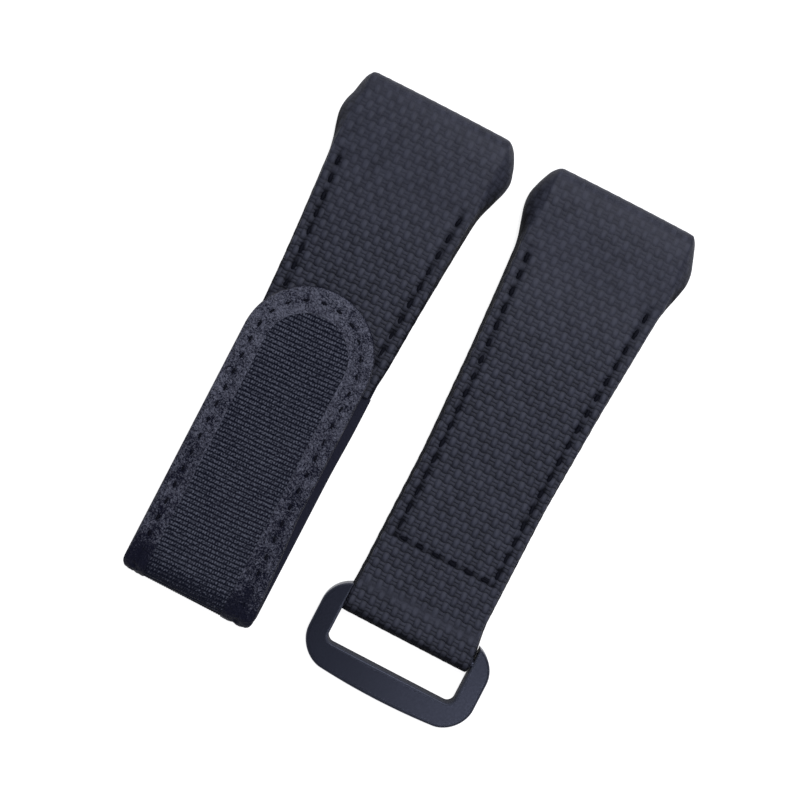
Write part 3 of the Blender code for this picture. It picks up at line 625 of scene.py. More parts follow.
def sewing_thread(tree):
    """Bonded polyester thread: nearly black, a gloss broken by fibres drawn at 0.19 mm so that they show."""
    fibre = add(tree, "TexNoise", {"Vector": add(tree, "TexCoord", out="Object"), "Scale": 1000 / 0.1923,
                                   "Detail": 2.0})
    colour = add(tree, "Mix", {0: fibre, 6: linear("#04050c"), 7: linear("#12131d")}, out=2, data_type="RGBA")
    bump = add(tree, "Bump", {"Strength": 0.5, "Distance": 0.00005, "Height": fibre})
    return add(tree, "BsdfPrincipled", {"Base Color": colour, "Roughness": 0.70, "Normal": bump,
                                        "IOR": 1.55, "Specular IOR Level": 0.06})


def sewn_row(name, cut, x, far, material):
    """A row of stitches over plan points, far from the case end, lying on the skin's crowned face."""
    crown = CROWN * (1 - np.clip(np.abs(x - cut["axis"]) / face_half(far), 0, 1) ** 2)
    line = np.stack([x, HEAD_Y - far, face_level(far, cut) + crown - ROW_SINK], 1)
    run = np.gradient(line, axis=0)
    run /= np.linalg.norm(run, axis=1, keepdims=True)
    sides = np.cross(run, (0, 0, 1))
    sides /= np.linalg.norm(sides, axis=1, keepdims=True)
    return thread_run(name, line, sides, np.cross(sides, run), material, "strap",
                      STITCH_SHARE, THREAD_RADIUS, STITCH_DIVE)


def side_places(end):
    """Distances of the stitch ends along a side row, a whole number of stitches from start to end."""
    count = round((end - STITCH_START) / STITCH_PITCH)
    return np.linspace(STITCH_START, end, count + 1)


thread = new_material("bonded_polyester_thread", sewing_thread)
hook_far = side_places(SKIN_END_AT - STITCH_PITCH)
hook_row = plan_half(hook_far) * HOOK_CUT["spread"] - STITCH_INSET
for label, side in (("left", -1), ("right", 1)):
    hook_stitches = sewn_row(f"hook_sewn_{label}", HOOK_CUT, HOOK_AXIS + side * hook_row, hook_far, thread)
    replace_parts(hook_stitches, f"hook_stitch_{label}")
ring_far = side_places(HEAD_Y - BOTTOM_ROW_Y)
ring_row = plan_half(ring_far) * RING_CUT["spread"] - STITCH_INSET
foot_row = np.linspace(-ring_row[-1], ring_row[-1], 7)[1:-1]
ring_x = RING_AXIS + np.concatenate([-ring_row, foot_row, ring_row[::-1]])
ring_round = np.concatenate([ring_far, np.full(len(foot_row), HEAD_Y - BOTTOM_ROW_Y), ring_far[::-1]])
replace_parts(sewn_row("ring_sewn_row", RING_CUT, ring_x, ring_round, thread), "ring_stitch")

# Linings on the wrist side.
# Smooth black leather, cut a little smaller than the skin, with its edge turned and two holes in
# each for the screws that hold the head to the watch case.

LINING_THICKNESS = 0.0008
LINING_INSET = 0.0004
LINING_END_GAP = 0.0001
LINING_TURN_GAP = 0.0003
EDGE_TURN = 0.0006
CLOSE_ROWS_TO = 0.003
SLEEVE_SPACING = 0.0120
SLEEVE_FROM_END = 0.0052
SCREW_HOLE = 0.0012
CUTTER_REACH = (-0.002, 0.004)


def grained_leather(tree, dark, light, grain_mm, gloss):
    """Chrome-tanned leather: crushed plateaus with creases between them, fine pores and a satin finish.

    The crush is drawn at about twice its real size and the pores at a third of the crush, so that
    both show. Clouds of 2.4 mm vary the tone. The colour carries painted light: plateaus painted
    lighter than the creases, which take painted shade, and pale specks from the pores that are
    painted glints.
    """
    object_place = add(tree, "TexCoord", out="Object")
    crush = add(tree, "TexNoise", {"Vector": object_place, "Scale": 1000 / grain_mm, "Detail": 3.0,
                                   "Roughness": 0.55, "Distortion": 0.8})
    centred = add(tree, "Math", (crush, 2.0, -1.0), operation="MULTIPLY_ADD")
    ridge = add(tree, "Math", (centred,), operation="ABSOLUTE")
    plateau = add(tree, "MapRange", {"Value": ridge, "From Max": 0.16}, interpolation_type="SMOOTHSTEP")
    pores = add(tree, "TexNoise", {"Vector": object_place, "Scale": 3000 / grain_mm, "Detail": 2.0,
                                   "Roughness": 0.6})
    speck = add(tree, "MapRange", {"Value": pores, "From Min": 0.38, "From Max": 0.64})
    cloud = add(tree, "TexNoise", {"Vector": object_place, "Scale": 1000 / 2.381, "Detail": 3.0,
                                   "Distortion": 0.6})
    clouded = add(tree, "Math", (cloud, 1.3, -0.98), operation="MULTIPLY_ADD")
    # Painted light: plateaus lighter than the creases, which take painted shade, and pale specks as painted
    # glints.
    lit_plateaus = add(tree, "Math", (plateau, 0.40), operation="MULTIPLY")
    glint_specked = add(tree, "Math", (speck, 0.80, lit_plateaus), operation="MULTIPLY_ADD")
    grain = add(tree, "Math", (clouded, glint_specked), operation="ADD")
    pale_mark = add(tree, "Attribute", attribute_name="edge", out="Fac")
    painted_shade = add(tree, "Attribute", attribute_name="painted_shade", out="Fac")
    # The edge attribute pales a rim and, as a painted highlight, the flap towards its tip; then painted shade
    # darkens it.
    pale_marked_grain = add(tree, "Math", (pale_mark, 0.45, grain), operation="MULTIPLY_ADD")
    tone = add(tree, "Math", (painted_shade, -0.70, pale_marked_grain), operation="MULTIPLY_ADD")
    colour = add(tree, "Mix", {0: tone, 6: linear(dark), 7: linear(light)}, out=2, data_type="RGBA")
    height = add(tree, "Math", (speck, 0.8, plateau), operation="MULTIPLY_ADD")
    bump = add(tree, "Bump", {"Strength": 0.9, "Distance": 0.00013 * grain_mm, "Height": height})
    pore_rough = add(tree, "Math", (pores, 0.24, gloss - 0.12), operation="MULTIPLY_ADD")
    rough = add(tree, "Math", (painted_shade, 0.30, pore_rough), operation="MULTIPLY_ADD")
    return add(tree, "BsdfPrincipled", {"Base Color": colour, "Roughness": rough, "Normal": bump,
                                        "IOR": 1.48, "Specular IOR Level": 0.22})


def lining_sheet(name, axis, end, material):
    """A flat sheet with a rounded edge: half the plan width less an inset, its section a superellipse."""
    distance = np.concatenate([np.linspace(0, CLOSE_ROWS_TO, 14), np.linspace(CLOSE_ROWS_TO, end, 90)[1:]])
    half = plan_half(distance) - LINING_INSET
    angle = np.linspace(0, 2 * np.pi, 48, endpoint=False)
    across = np.sign(np.cos(angle)) * np.abs(np.cos(angle)) ** 0.12
    rise = np.sign(np.sin(angle)) * np.abs(np.sin(angle)) ** 0.5
    edge = 1 - 0.5 * (1 - smooth(0, EDGE_TURN, distance))
    x = axis + half[:, None] * across[None, :]
    y = (HEAD_Y - LINING_END_GAP - distance)[:, None]
    z = LINING_THICKNESS / 2 * (1 + rise[None, :] * edge[:, None])
    return solid_from_grid(name, capped(np.stack(np.broadcast_arrays(x, y, z), 2)), material=material)


def capped(points):
    """The grid with one more row at each end, drawn together into the middle of that end."""
    ends = [np.broadcast_to(row.mean(axis=0), row.shape)[None] for row in (points[0], points[-1])]
    return np.concatenate([ends[0], points, ends[1]])


def drill(item, x, y, radius):
    """Cuts a round hole straight up through a piece, and applies the cut."""
    angle = np.linspace(0, 2 * np.pi, 32, endpoint=False)
    circle = np.stack([x + radius * np.cos(angle), y + radius * np.sin(angle)], 1)
    rings = [np.column_stack([circle, np.full(len(circle), level)]) for level in CUTTER_REACH]
    tool = solid_from_grid("drill", capped(np.array(rings)))
    cut = item.modifiers.new("hole", "BOOLEAN")
    cut.solver = "EXACT"
    cut.operation = "DIFFERENCE"
    cut.object = tool
    depsgraph = bpy.context.evaluated_depsgraph_get()
    uncut = item.data
    item.data = bpy.data.meshes.new_from_object(item.evaluated_get(depsgraph))
    item.modifiers.clear()
    bpy.data.meshes.remove(uncut)
    bpy.data.objects.remove(tool, do_unlink=True)


lining_leather = new_material("smooth_calf_lining", grained_leather, "#0d0d12", "#1b1b22", 0.45, 0.50)
for label, axis, end in (("hook", HOOK_AXIS, SKIN_END_AT),
                         ("ring", RING_AXIS, HEAD_Y - TURN_BACK_Y - LINING_TURN_GAP)):
    lining = lining_sheet(f"{label}_wrist_lining", axis, end, lining_leather)
    for side in (-1, 1):
        drill(lining, axis + side * SLEEVE_SPACING / 2, HEAD_Y - SLEEVE_FROM_END, SCREW_HOLE)
    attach(lining, "strap")
    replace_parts(lining, f"{label}_lining")

# Case fixing inside the heads.
# A moulded nylon plate with two turned steel sleeves; only their mouths show, in the lining's
# holes. Both stay the CAD's own solids.


def turned_steel(tree):
    """Turned steel: fine rings of the tool, drawn as a grain of 0.29 mm, bright and slightly scratched."""
    lines = add(tree, "TexNoise", {"Vector": add(tree, "TexCoord", out="Object"), "Scale": 1000 / 0.2857,
                                   "Detail": 3.0})
    rough = add(tree, "Math", (lines, 0.22, 0.20), operation="MULTIPLY_ADD")
    colour = add(tree, "Mix", {0: lines, 6: linear("#8f9093"), 7: linear("#c4c5c8")}, out=2, data_type="RGBA")
    bump = add(tree, "Bump", {"Strength": 0.2, "Distance": 0.00002, "Height": lines})
    return add(tree, "BsdfPrincipled", {"Base Color": colour, "Metallic": 1.0, "Roughness": rough,
                                        "Normal": bump})


def moulded_nylon(tree):
    """Moulded black nylon: a fine spark-eroded texture, drawn at 0.17 mm so that it shows."""
    spark = add(tree, "TexNoise", {"Vector": add(tree, "TexCoord", out="Object"), "Scale": 1000 / 0.16667,
                                   "Detail": 2.0})
    colour = add(tree, "Mix", {0: spark, 6: linear("#131316"), 7: linear("#222226")}, out=2, data_type="RGBA")
    bump = add(tree, "Bump", {"Strength": 0.35, "Distance": 0.00003, "Height": spark})
    return add(tree, "BsdfPrincipled", {"Base Color": colour, "Roughness": 0.55, "Normal": bump,
                                        "IOR": 1.53})


steel = new_material("turned_steel", turned_steel)
plate_nylon = new_material("moulded_nylon", moulded_nylon)
for label in ("hook", "ring"):
    for node, material in ((f"{label}_screw_sleeve_left", steel), (f"{label}_screw_sleeve_right", steel),
                           (f"{label}_end_insert", plate_nylon)):
        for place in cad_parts[node].material_slots:
            place.material = material

# The hook half's tail: two plies that run from under the skin, round the fold and back on top.
# The outer ply is a leather border with ribbed webbing in its window, the inner ply plain webbing.
# Both are split twice in the fold, into three parts that lie in their folded places.

FOLD_Y = -0.0384
FOLD_RADIUS = 0.0022
FOLD_DRAW = 0.0008
FOLD_DRAW_REACH = 0.0014
PLY = 0.00075
TAIL_HALF = 0.0102
TAIL_LEFT = HOOK_AXIS - TAIL_HALF
TAIL_RIGHT = HOOK_AXIS + TAIL_HALF
TAIL_WIDENS = (-0.022, -0.032)
TAIL_WIDENING = 0.0002
LEFT_DRAWS = (-0.006, 0.0)
TAIL_START_Y = -0.00222
TAIL_START = FOLD_Y - TAIL_START_Y
FLAP_AXIS = -0.01630
FLAP_HALF = 0.01005
FLAP_LEFT = FLAP_AXIS - FLAP_HALF
FLAP_TIP_Y = 0.0094
FLAP_DRAW_LENGTH = 0.0160
FLAP_SIDE_ROWS = 210
BORDER = 0.0037
TIP_BORDER = 0.0041
WINDOW_HALF = FLAP_HALF - BORDER
TOP_START = math.pi * FOLD_RADIUS
FOLD_PARTS = np.array([0, 1, 2, 3]) / 3 * TOP_START
OUTER_ROUND = 0.00040
INNER_ROUND = 0.00012
FACE_TO_DEPTH = 0.0006
ROW_TROUGH = 0.00042
ROW_DIP = 0.00010
HOLE_DIP = 0.00016
PULL_REACH = 0.0011
PULL_DIP = 0.00007
BOW = 0.00016
BOW_REACH = 0.0014
CREASES = (0.0019, 0.0010, 0.0006)
CREASE_RISE = 0.000075
CREASE_MARGIN = 0.0003
ROW_SHADE = 0.00040
RIM_WIDTH = 0.00018
# Distances in from the outer side over which the cut side takes painted shade.
CUT_SIDE_SHADE = (0.00022, 0.00002)


def top_along(y):
    """Length along the outer face at a y of the flap's upper side."""
    return TOP_START + y - FOLD_Y


# Ranges along the outer face: where the border is painted paler towards the tip, a painted highlight,
# where painted shade darkens it down to the fold, and where that shade begins on the underside.
TIP_PALES = (top_along(-0.030), top_along(0.004))
FOLD_DARKENS = (top_along(-0.0330), top_along(-0.0395))
UNDERSIDE_DARKENS = (-0.0040, 0.0005)
UNDERSIDE_TO = 0.001


def tail_point(x, along, depth):
    """Place of a point of the folded tail.

    along is measured on the outer face from where the fold begins: below 0 it runs on the underside
    towards the heads, up to pi times the fold's radius round the fold, and past that back on top.
    depth is inwards from the outer face.
    """
    angle = np.clip(along / FOLD_RADIUS, 0, np.pi)
    radius = FOLD_RADIUS - depth
    y = FOLD_Y - radius * np.sin(angle) - np.minimum(along, 0) + np.maximum(along - TOP_START, 0)
    z = FOLD_RADIUS - radius * np.cos(angle)
    return np.stack(np.broadcast_arrays(x, y, z), -1)


def drawn_in(along):
    """How far the outer ply's sides draw in where the leather is pulled taut over the fold."""
    return FOLD_DRAW * bell(along - TOP_START / 2, FOLD_DRAW_REACH)


def right_edge(along):
    """Right outline of the outer ply: flush with the tail at the fold, drawn in up the flap."""
    share = np.clip((along - TOP_START) / FLAP_DRAW_LENGTH, 0, 1)
    start = TAIL_RIGHT + TAIL_WIDENING * smooth(*TAIL_WIDENS, along)
    return start + (FLAP_AXIS + FLAP_HALF - start) * share - drawn_in(along)


def left_edge(along):
    """Left outline of the outer ply: the tail's on the underside, the flap's from the fold on."""
    return TAIL_LEFT + (FLAP_LEFT - TAIL_LEFT) * smooth(*LEFT_DRAWS, along) + drawn_in(along)


def window_left(along):
    """Left outline of the webbing's window, straight."""
    return np.full_like(along, FLAP_AXIS - WINDOW_HALF)


def window_right(along):
    """Right outline of the webbing's window, straight."""
    return np.full_like(along, FLAP_AXIS + WINDOW_HALF)


def bend_part(item, number, depth):
    """Bakes a part's placement into its mesh; the ends of part 0, 1 or 2 of the fold at the depth are found,
    but nothing uses them.
    """
    start, end = (tail_point(np.array(FLAP_AXIS), FOLD_PARTS[number + step], depth) for step in (0, 1))
    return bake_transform(item)


def strip_ring(width, thickness, outer_round, inner_round, steps):
    """Section of a strip as a closed ring: distances in from its outer side, and depths.

    It climbs the outer side, turns a quarter circle onto the face, crosses it, turns down the inner
    side and comes back below.
    """
    turn = np.linspace(0, np.pi / 2, 6)[None, :]
    first, last = (np.minimum(radius, 0.45 * width)[:, None] for radius in (outer_round, inner_round))
    wide, low = width[:, None], np.full((len(width), 1), thickness)
    face = np.linspace(0, 1, steps)[None, 1:-1]
    first_drop, last_drop = (np.minimum(radius, 0.7 * thickness) for radius in (first, last))
    in_from_side = np.concatenate([first * (1 - np.cos(turn)), first + (wide - first - last) * face,
                                   wide - last * (1 - np.cos(turn[:, ::-1])), wide, np.zeros_like(wide)], 1)
    depth = np.concatenate([first_drop * (1 - np.sin(turn)), np.zeros_like(wide * face),
                            last_drop * (1 - np.sin(turn[:, ::-1])), low, low], 1)
    return in_from_side, depth


def crinkle(x, y, wavelengths, seed):
    """Sum of plane sine waves in random directions, one set of eight for each wavelength; about -1 to 1."""
    random = np.random.default_rng(seed)
    total = np.zeros(np.broadcast(x, y).shape)
    for wavelength in wavelengths:
        for _ in range(8):
            angle, phase = random.uniform(0, 2 * np.pi, 2)
            total += np.sin(2 * np.pi / wavelength * (x * np.cos(angle) + y * np.sin(angle)) + phase)
    return total / (3.2 * math.sqrt(len(wavelengths) * 2))


def length_along(line):
    """Length along a line of plan points up to each of them."""
    return np.concatenate([[0], np.cumsum(np.hypot(*np.diff(line, axis=0).T))])


def border_band(outer, inner):
    """Points of the leather border between two paired outlines of (x, along), with its pucker.

    The face bows down towards its outer side, dips in a trough along the middle where it is sewn,
    deepest at each needle hole, and is creased all over by short waves. The edge field pales a thin
    rim at the window and, as a painted highlight, the border towards the tip; the other field is
    painted shade in the trough, on the fold and on the cut side.
    """
    width = np.hypot(*(outer - inner).T)
    wide = width[:, None]
    off, depth = strip_ring(width, PLY, OUTER_ROUND, INNER_ROUND, 30)
    share = off / wide
    place = outer[:, None, :] + (inner - outer)[:, None, :] * share[:, :, None]
    x, along = place[:, :, 0], place[:, :, 1]
    on_face = (depth < FACE_TO_DEPTH).astype(float)
    hole = np.abs(np.sin(np.pi * length_along((outer + inner) / 2)[:, None] / STITCH_PITCH)) ** 8
    from_row = (share - 0.5) * wide
    dip = bell(from_row, ROW_TROUGH) * (ROW_DIP + HOLE_DIP * hole)
    pull = bell(from_row, PULL_REACH) * hole * PULL_DIP
    bow = BOW * (1 - smooth(0, BOW_REACH, off))
    creases = CREASE_RISE * crinkle(x, along, CREASES, 7)
    creases = creases * np.minimum(off / CREASE_MARGIN, 1) * np.clip((wide - off) / CREASE_MARGIN, 0, 1)
    depth = depth + on_face * (dip + pull + bow - creases)
    depth = np.where(along < UNDERSIDE_TO, np.maximum(depth, 0), depth)
    # A paler rim at the window, and a painted highlight that grows towards the flap's tip.
    rim = bell(wide - off, RIM_WIDTH) * on_face
    tip = smooth(*TIP_PALES, along) * on_face
    # Painted shade in the sewn trough, on the fold and on the cut side.
    trough = bell(from_row, ROW_SHADE) * (0.22 + 0.26 * hole) * on_face
    fold_shade = smooth(*FOLD_DARKENS, along) * smooth(*UNDERSIDE_DARKENS, along)
    cut_side_shade = smooth(*CUT_SIDE_SHADE, off)
    fields = {"edge": np.clip(0.5 * rim + 0.75 * tip, 0, 1),
              "painted_shade": np.clip(trough + 1.1 * fold_shade + cut_side_shade, 0, 1.3)}
    return tail_point(x, along, depth), fields


def flap_outlines():
    """Outer and inner outline of the border: up the left side, half round the tip, down the right."""
    start = FOLD_PARTS[2]
    rise = np.linspace(0, 1, FLAP_SIDE_ROWS)[:, None]
    turn = np.linspace(0, np.pi, 132)[1:-1, None]
    outlines = []
    for half, tip_y, left, right in ((FLAP_HALF, FLAP_TIP_Y, left_edge, right_edge),
                                     (WINDOW_HALF, FLAP_TIP_Y - TIP_BORDER, window_left, window_right)):
        top = top_along(tip_y - half)
        up = start + (top - start) * rise
        arc = np.concatenate([FLAP_AXIS - half * np.cos(turn), top + half * np.sin(turn)], 1)
        down = up[::-1]
        outlines.append(np.concatenate([np.concatenate([left(up), up], 1), arc,
                                        np.concatenate([right(down), down], 1)]))
    return outlines


def border_sides(first, last, rows):
    """Outer and inner outline of a straight stretch of the border, on its left and on its right side."""
    along = np.linspace(first, last, rows)
    pairs = ((left_edge, window_left), (right_edge, window_right))
    return [[np.stack([edge(along), along], 1) for edge in pair] for pair in pairs]


def joined(name, parts):
    """One object of several, their meshes put together."""
    work = bmesh.new()
    for part in parts:
        work.from_mesh(part.data)
    mesh = parts[0].data.copy()
    work.to_mesh(mesh)
    work.free()
    for part in parts:
        bpy.data.objects.remove(part, do_unlink=True)
    mesh.name = name
    return placed(name, mesh)


def leather_part(name, outlines):
    """One or more bands of the border as one piece."""
    bands = []
    for outer, inner in outlines:
        points, fields = border_band(outer, inner)
        fields = {key: np.concatenate([value[:1], value, value[-1:]]) for key, value in fields.items()}
        bands.append(solid_from_grid(name + "_band", capped(points), fields=fields, sharp=65,
                                     material=border_leather))
    return joined(name, bands)


border_leather = new_material("crushed_calf", grained_leather, "#04061d", "#595b69", 0.75, 0.32)
border_lower = leather_part("border_lower", border_sides(TAIL_START, FOLD_PARTS[1], 150))
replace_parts(bend_part(border_lower, 0, PLY / 2), "tail_strip")
border_fold = leather_part("border_fold", border_sides(FOLD_PARTS[1], FOLD_PARTS[2], 14))
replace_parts(bend_part(border_fold, 1, PLY / 2), "fold_link_1", "fold_link_2")
border_flap = leather_part("border_flap", [flap_outlines()])
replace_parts(bend_part(border_flap, 2, PLY / 2), "flap_border")

# Ribbed webbing in the border's window.
# Black grosgrain: ribs across the strap at 0.67 mm, wrapped by fine warp threads at 0.38 mm that
# make each rib a row of beads. It runs a little askew, as in the photograph.

RIB = 0.00067
BEAD = 0.00038
RIB_SLANT = math.tan(math.radians(3.6))
RIB_RISE = 0.00018
RIB_BASE = 0.00006
PANEL_SINK = 0.00020
WEBBING_LAP = 0.0002
RIB_WAVER = 0.0029
WEBBING_ROUND = 0.0001
WEBBING_FACE = 0.00005
WEBBING_STEPS = (0.00011, 0.000095)
UNDERSIDE_STEPS = (0.00016, 0.00019)
# y values between which the webbing takes painted shade towards the fold.
DARK_FROM_Y = -0.0365
DARK_TO_Y = -0.0402


def ribbed_webbing(tree):
    """Grosgrain, nearly matt: painted shade in the grooves between the ribs, beads with a weak gloss, and
    painted glints on the ribs.

    u counts beads and v ribs; every other rib's beads are set off by half. The fibre noise, specks of
    0.30 mm, coarser than real fibres so that they show, bumps the face and gives the pale flecks on the
    ribs that are painted glints; the tone drifts in patches of 3.8 mm. The webbing on the fold gets
    painted shade.
    """
    cloth = add(tree, "SeparateXYZ", (add(tree, "UVMap", uv_map="weave"),), out=None).outputs
    u, v = cloth[0], cloth[1]
    rib_number = add(tree, "Math", (v,), operation="FLOOR")
    odd = add(tree, "Math", (rib_number, 2.0), operation="FLOORED_MODULO")
    staggered = add(tree, "Math", (odd, 0.5, u), operation="MULTIPLY_ADD")
    twin = add(tree, "Math", (lobes(tree, v, 2, 0.5), 0.30, 0.70), operation="MULTIPLY_ADD")
    rib = add(tree, "Math", (twin, lobes(tree, v, 1, 0.45)), operation="MULTIPLY")
    bead = add(tree, "Math", (lobes(tree, staggered, 1, 0.6), 0.40, 0.60), operation="MULTIPLY_ADD")
    form = add(tree, "Math", (rib, bead), operation="MULTIPLY")
    object_place = add(tree, "TexCoord", out="Object")
    fibre = add(tree, "TexNoise", {"Vector": object_place, "Scale": 1000 / 0.30303, "Detail": 2.0})
    glint_fleck = add(tree, "MapRange", {"Value": fibre, "From Min": 0.40, "From Max": 0.66})
    broad = add(tree, "TexNoise", {"Vector": object_place, "Scale": 1000 / 3.846, "Detail": 2.0})
    drift = add(tree, "Math", (broad, 0.30, -1.50), operation="MULTIPLY_ADD")
    # Painted shade in the grooves and painted light on the beads.
    soft = add(tree, "Math", (form, 1.80, drift), operation="MULTIPLY_ADD")
    rib_glint = add(tree, "Math", (glint_fleck, rib), operation="MULTIPLY")
    glint_flecked = add(tree, "Math", (rib_glint, 1.05, soft), operation="MULTIPLY_ADD")
    # Painted shade on the fold.
    y = add(tree, "SeparateXYZ", (object_place,), out=1)
    fold_shade = add(tree, "MapRange", {"Value": y, "From Min": DARK_FROM_Y, "From Max": DARK_TO_Y})
    tone = add(tree, "Math", (fold_shade, -0.85, glint_flecked), operation="MULTIPLY_ADD")
    colour = add(tree, "Mix", {0: tone, 6: linear("#020518"), 7: linear("#525562")}, out=2, data_type="RGBA")
    height = add(tree, "Math", (fibre, 0.25, form), operation="MULTIPLY_ADD")
    bump = add(tree, "Bump", {"Strength": 0.8, "Distance": 0.00008, "Height": height})
    return add(tree, "BsdfPrincipled", {"Base Color": colour, "Roughness": 0.62, "Normal": bump,
                                        "IOR": 1.53, "Specular IOR Level": 0.14})


def webbing_part(name, first, last, steps):
    """A stretch of the webbing: a strip whose face carries the ribs and beads as sines."""
    along = np.linspace(first, last, max(4, int((last - first) / steps[0])))[:, None]
    width = np.full(len(along), 2 * WINDOW_HALF + WEBBING_LAP)
    off, depth = strip_ring(width, PLY - PANEL_SINK, WEBBING_ROUND, WEBBING_ROUND, int(width[0] / steps[1]))
    x = FLAP_AXIS - width[:, None] / 2 + off
    count = along / RIB - (x - FLAP_AXIS) * RIB_SLANT / RIB + 0.10 * np.sin(x / RIB_WAVER)
    beads = x / BEAD
    stagger = 0.5 * (np.floor(count) % 2)
    form = np.abs(np.sin(np.pi * count)) ** 0.8 * (0.50 + 0.50 * np.abs(np.sin(np.pi * (beads + stagger))))
    relief = RIB_RISE * form * (depth < WEBBING_FACE) - RIB_BASE
    points = tail_point(x, along, depth + PANEL_SINK - relief)
    uv = np.stack([beads, count], 2)
    uv = np.concatenate([uv, uv[:, :1]], 1)
    uv = np.concatenate([uv[:1], uv, uv[-1:]])
    return solid_from_grid(name, capped(points), uv, sharp=70, material=grosgrain)


grosgrain = new_material("ribbed_webbing", ribbed_webbing)
webbing_tip = top_along(FLAP_TIP_Y - TIP_BORDER + WEBBING_LAP)
bend_part(webbing_part("webbing_lower", TAIL_START, FOLD_PARTS[1], UNDERSIDE_STEPS), 0, PLY / 2)
bend_part(webbing_part("webbing_fold", FOLD_PARTS[1], FOLD_PARTS[2], WEBBING_STEPS), 1, PLY / 2)
webbing_flap = webbing_part("webbing_flap", FOLD_PARTS[2], webbing_tip, WEBBING_STEPS)
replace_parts(bend_part(webbing_flap, 2, PLY / 2), "flap_panel")

# Inner ply of the tail, and the hook and loop tapes on it.
# Plain black tape carries brushed loops on the tail and rows of moulded hooks under the flap, so
# that the flap holds where it is folded back.

INNER_INSET = 0.00010
INNER_LAP = 0.0030
INNER_STEP = 0.0005
INNER_THINNER = 0.00002
LOOP_FROM_Y = FOLD_Y + 0.0020
LOOP_TO_Y = -0.0025
LOOP_HALF = 0.0080
LOOP_LEVELS = (0.00150, 0.00234)
LOOP_PITCH = 0.00055
LOOP_RISE = 0.00008
HOOK_TO_Y = FLAP_TIP_Y - TIP_BORDER
HOOK_TAPE_LENGTH = 0.0240
HOOK_LEVELS = (0.00282, 0.0030)
HOOK_PITCH = 0.00060
HOOK_RISE = 0.00011
TAPE_ROUND = 0.0001
TAPE_FACE = 0.00002


def plain_tape(tree, dark, light, pile_mm, rough, sheen):
    """Nylon tape, woven, brushed or moulded: a matt tangle of fibres with dark places between them.

    Its tufts are pile_mm wide, coarser than single fibres so that they show.
    """
    pile = add(tree, "TexNoise", {"Vector": add(tree, "TexCoord", out="Object"), "Scale": 1000 / pile_mm,
                                  "Detail": 4.0, "Roughness": 0.7})
    colour = add(tree, "Mix", {0: pile, 6: linear(dark), 7: linear(light)}, out=2, data_type="RGBA")
    bump = add(tree, "Bump", {"Strength": 0.9, "Distance": 0.0001, "Height": pile})
    return add(tree, "BsdfPrincipled", {"Base Color": colour, "Roughness": rough, "Normal": bump,
                                        "IOR": 1.53, "Specular IOR Level": 0.12, "Sheen Weight": sheen,
                                        "Sheen Roughness": 0.5})


def inner_part(name, first, last, round_tip=False):
    """A stretch of the inner ply: as wide as the border less a hair, and round at the flap's tip."""
    along = np.linspace(first, last, max(5, int((last - first) / INNER_STEP)))
    left, right = left_edge(along) + INNER_INSET, right_edge(along) - INNER_INSET
    if round_tip:
        turn = np.linspace(0, np.pi / 2, 26)[1:-1]
        radius = FLAP_HALF - INNER_INSET
        along = np.concatenate([along, last + radius * np.sin(turn)])
        left = np.concatenate([left, FLAP_AXIS - radius * np.cos(turn)])
        right = np.concatenate([right, FLAP_AXIS + radius * np.cos(turn)])
    off, depth = strip_ring(right - left, PLY - INNER_THINNER, INNER_ROUND, INNER_ROUND, 24)
    points = tail_point(left[:, None] + off, along[:, None], 2 * PLY - depth)
    return solid_from_grid(name, capped(points), sharp=65, material=ply_tape)


def tape_slab(name, low_y, high_y, levels, half, axis, pitch, rise, under_flap, material):
    """A tape whose working face is a field of small knobs: sine by sine, every other row offset.

    Under the flap the knobs look down and the tape is round at its tip.
    """
    base, top = levels
    y = np.linspace(low_y, high_y, int((high_y - low_y) / pitch * 4))[:, None]
    wide = np.full(len(y), half)
    if under_flap:
        past = np.clip(y[:, 0] - (high_y - half), 0, None)
        wide = np.sqrt(np.clip(half**2 - past**2, (0.05 * half) ** 2, None))
    off, depth = strip_ring(2 * wide, top - base, TAPE_ROUND, TAPE_ROUND, int(2 * half / pitch * 4))
    x = axis - wide[:, None] + off
    across = np.sin(np.pi * (x / pitch + 0.5 * (np.floor(y / pitch) % 2)))
    knobs = np.abs(across) ** 1.5 * np.abs(np.sin(np.pi * y / pitch)) ** 1.5 * rise * (depth < TAPE_FACE)
    z = base + depth - knobs if under_flap else top - depth + knobs
    points = np.stack(np.broadcast_arrays(x, y, z), 2)
    return solid_from_grid(name, capped(points), sharp=75, material=material)


ply_tape = new_material("plain_nylon_tape", plain_tape, "#030310", "#282a3a", 0.30, 0.75, 0.0)
tip_start = top_along(FLAP_TIP_Y - FLAP_HALF)
bend_part(inner_part("inner_ply_lower", TAIL_START - INNER_LAP, FOLD_PARTS[1]), 0, 1.5 * PLY)
bend_part(inner_part("inner_ply_fold", FOLD_PARTS[1], FOLD_PARTS[2]), 1, 1.5 * PLY)
bend_part(inner_part("inner_ply_flap", FOLD_PARTS[2], tip_start, round_tip=True), 2, 1.5 * PLY)
loop_pile = new_material("brushed_loop_pile", plain_tape, "#08080a", "#222228", 0.22, 0.9, 0.25)
loops = tape_slab("brushed_loops", LOOP_FROM_Y, LOOP_TO_Y, LOOP_LEVELS, LOOP_HALF, HOOK_AXIS, LOOP_PITCH,
                  LOOP_RISE, False, loop_pile)
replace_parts(loops, "loop_patch")
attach(loops, "strap")
hook_tape = new_material("moulded_hook_tape", plain_tape, "#0a0a0c", "#1c1c20", 0.60, 0.5, 0.0)
hooks = tape_slab("moulded_hooks", HOOK_TO_Y - HOOK_TAPE_LENGTH, HOOK_TO_Y, HOOK_LEVELS, WINDOW_HALF,
                  FLAP_AXIS, HOOK_PITCH, HOOK_RISE, True, hook_tape)
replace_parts(hooks, "hook_patch")
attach(hooks, "flap")

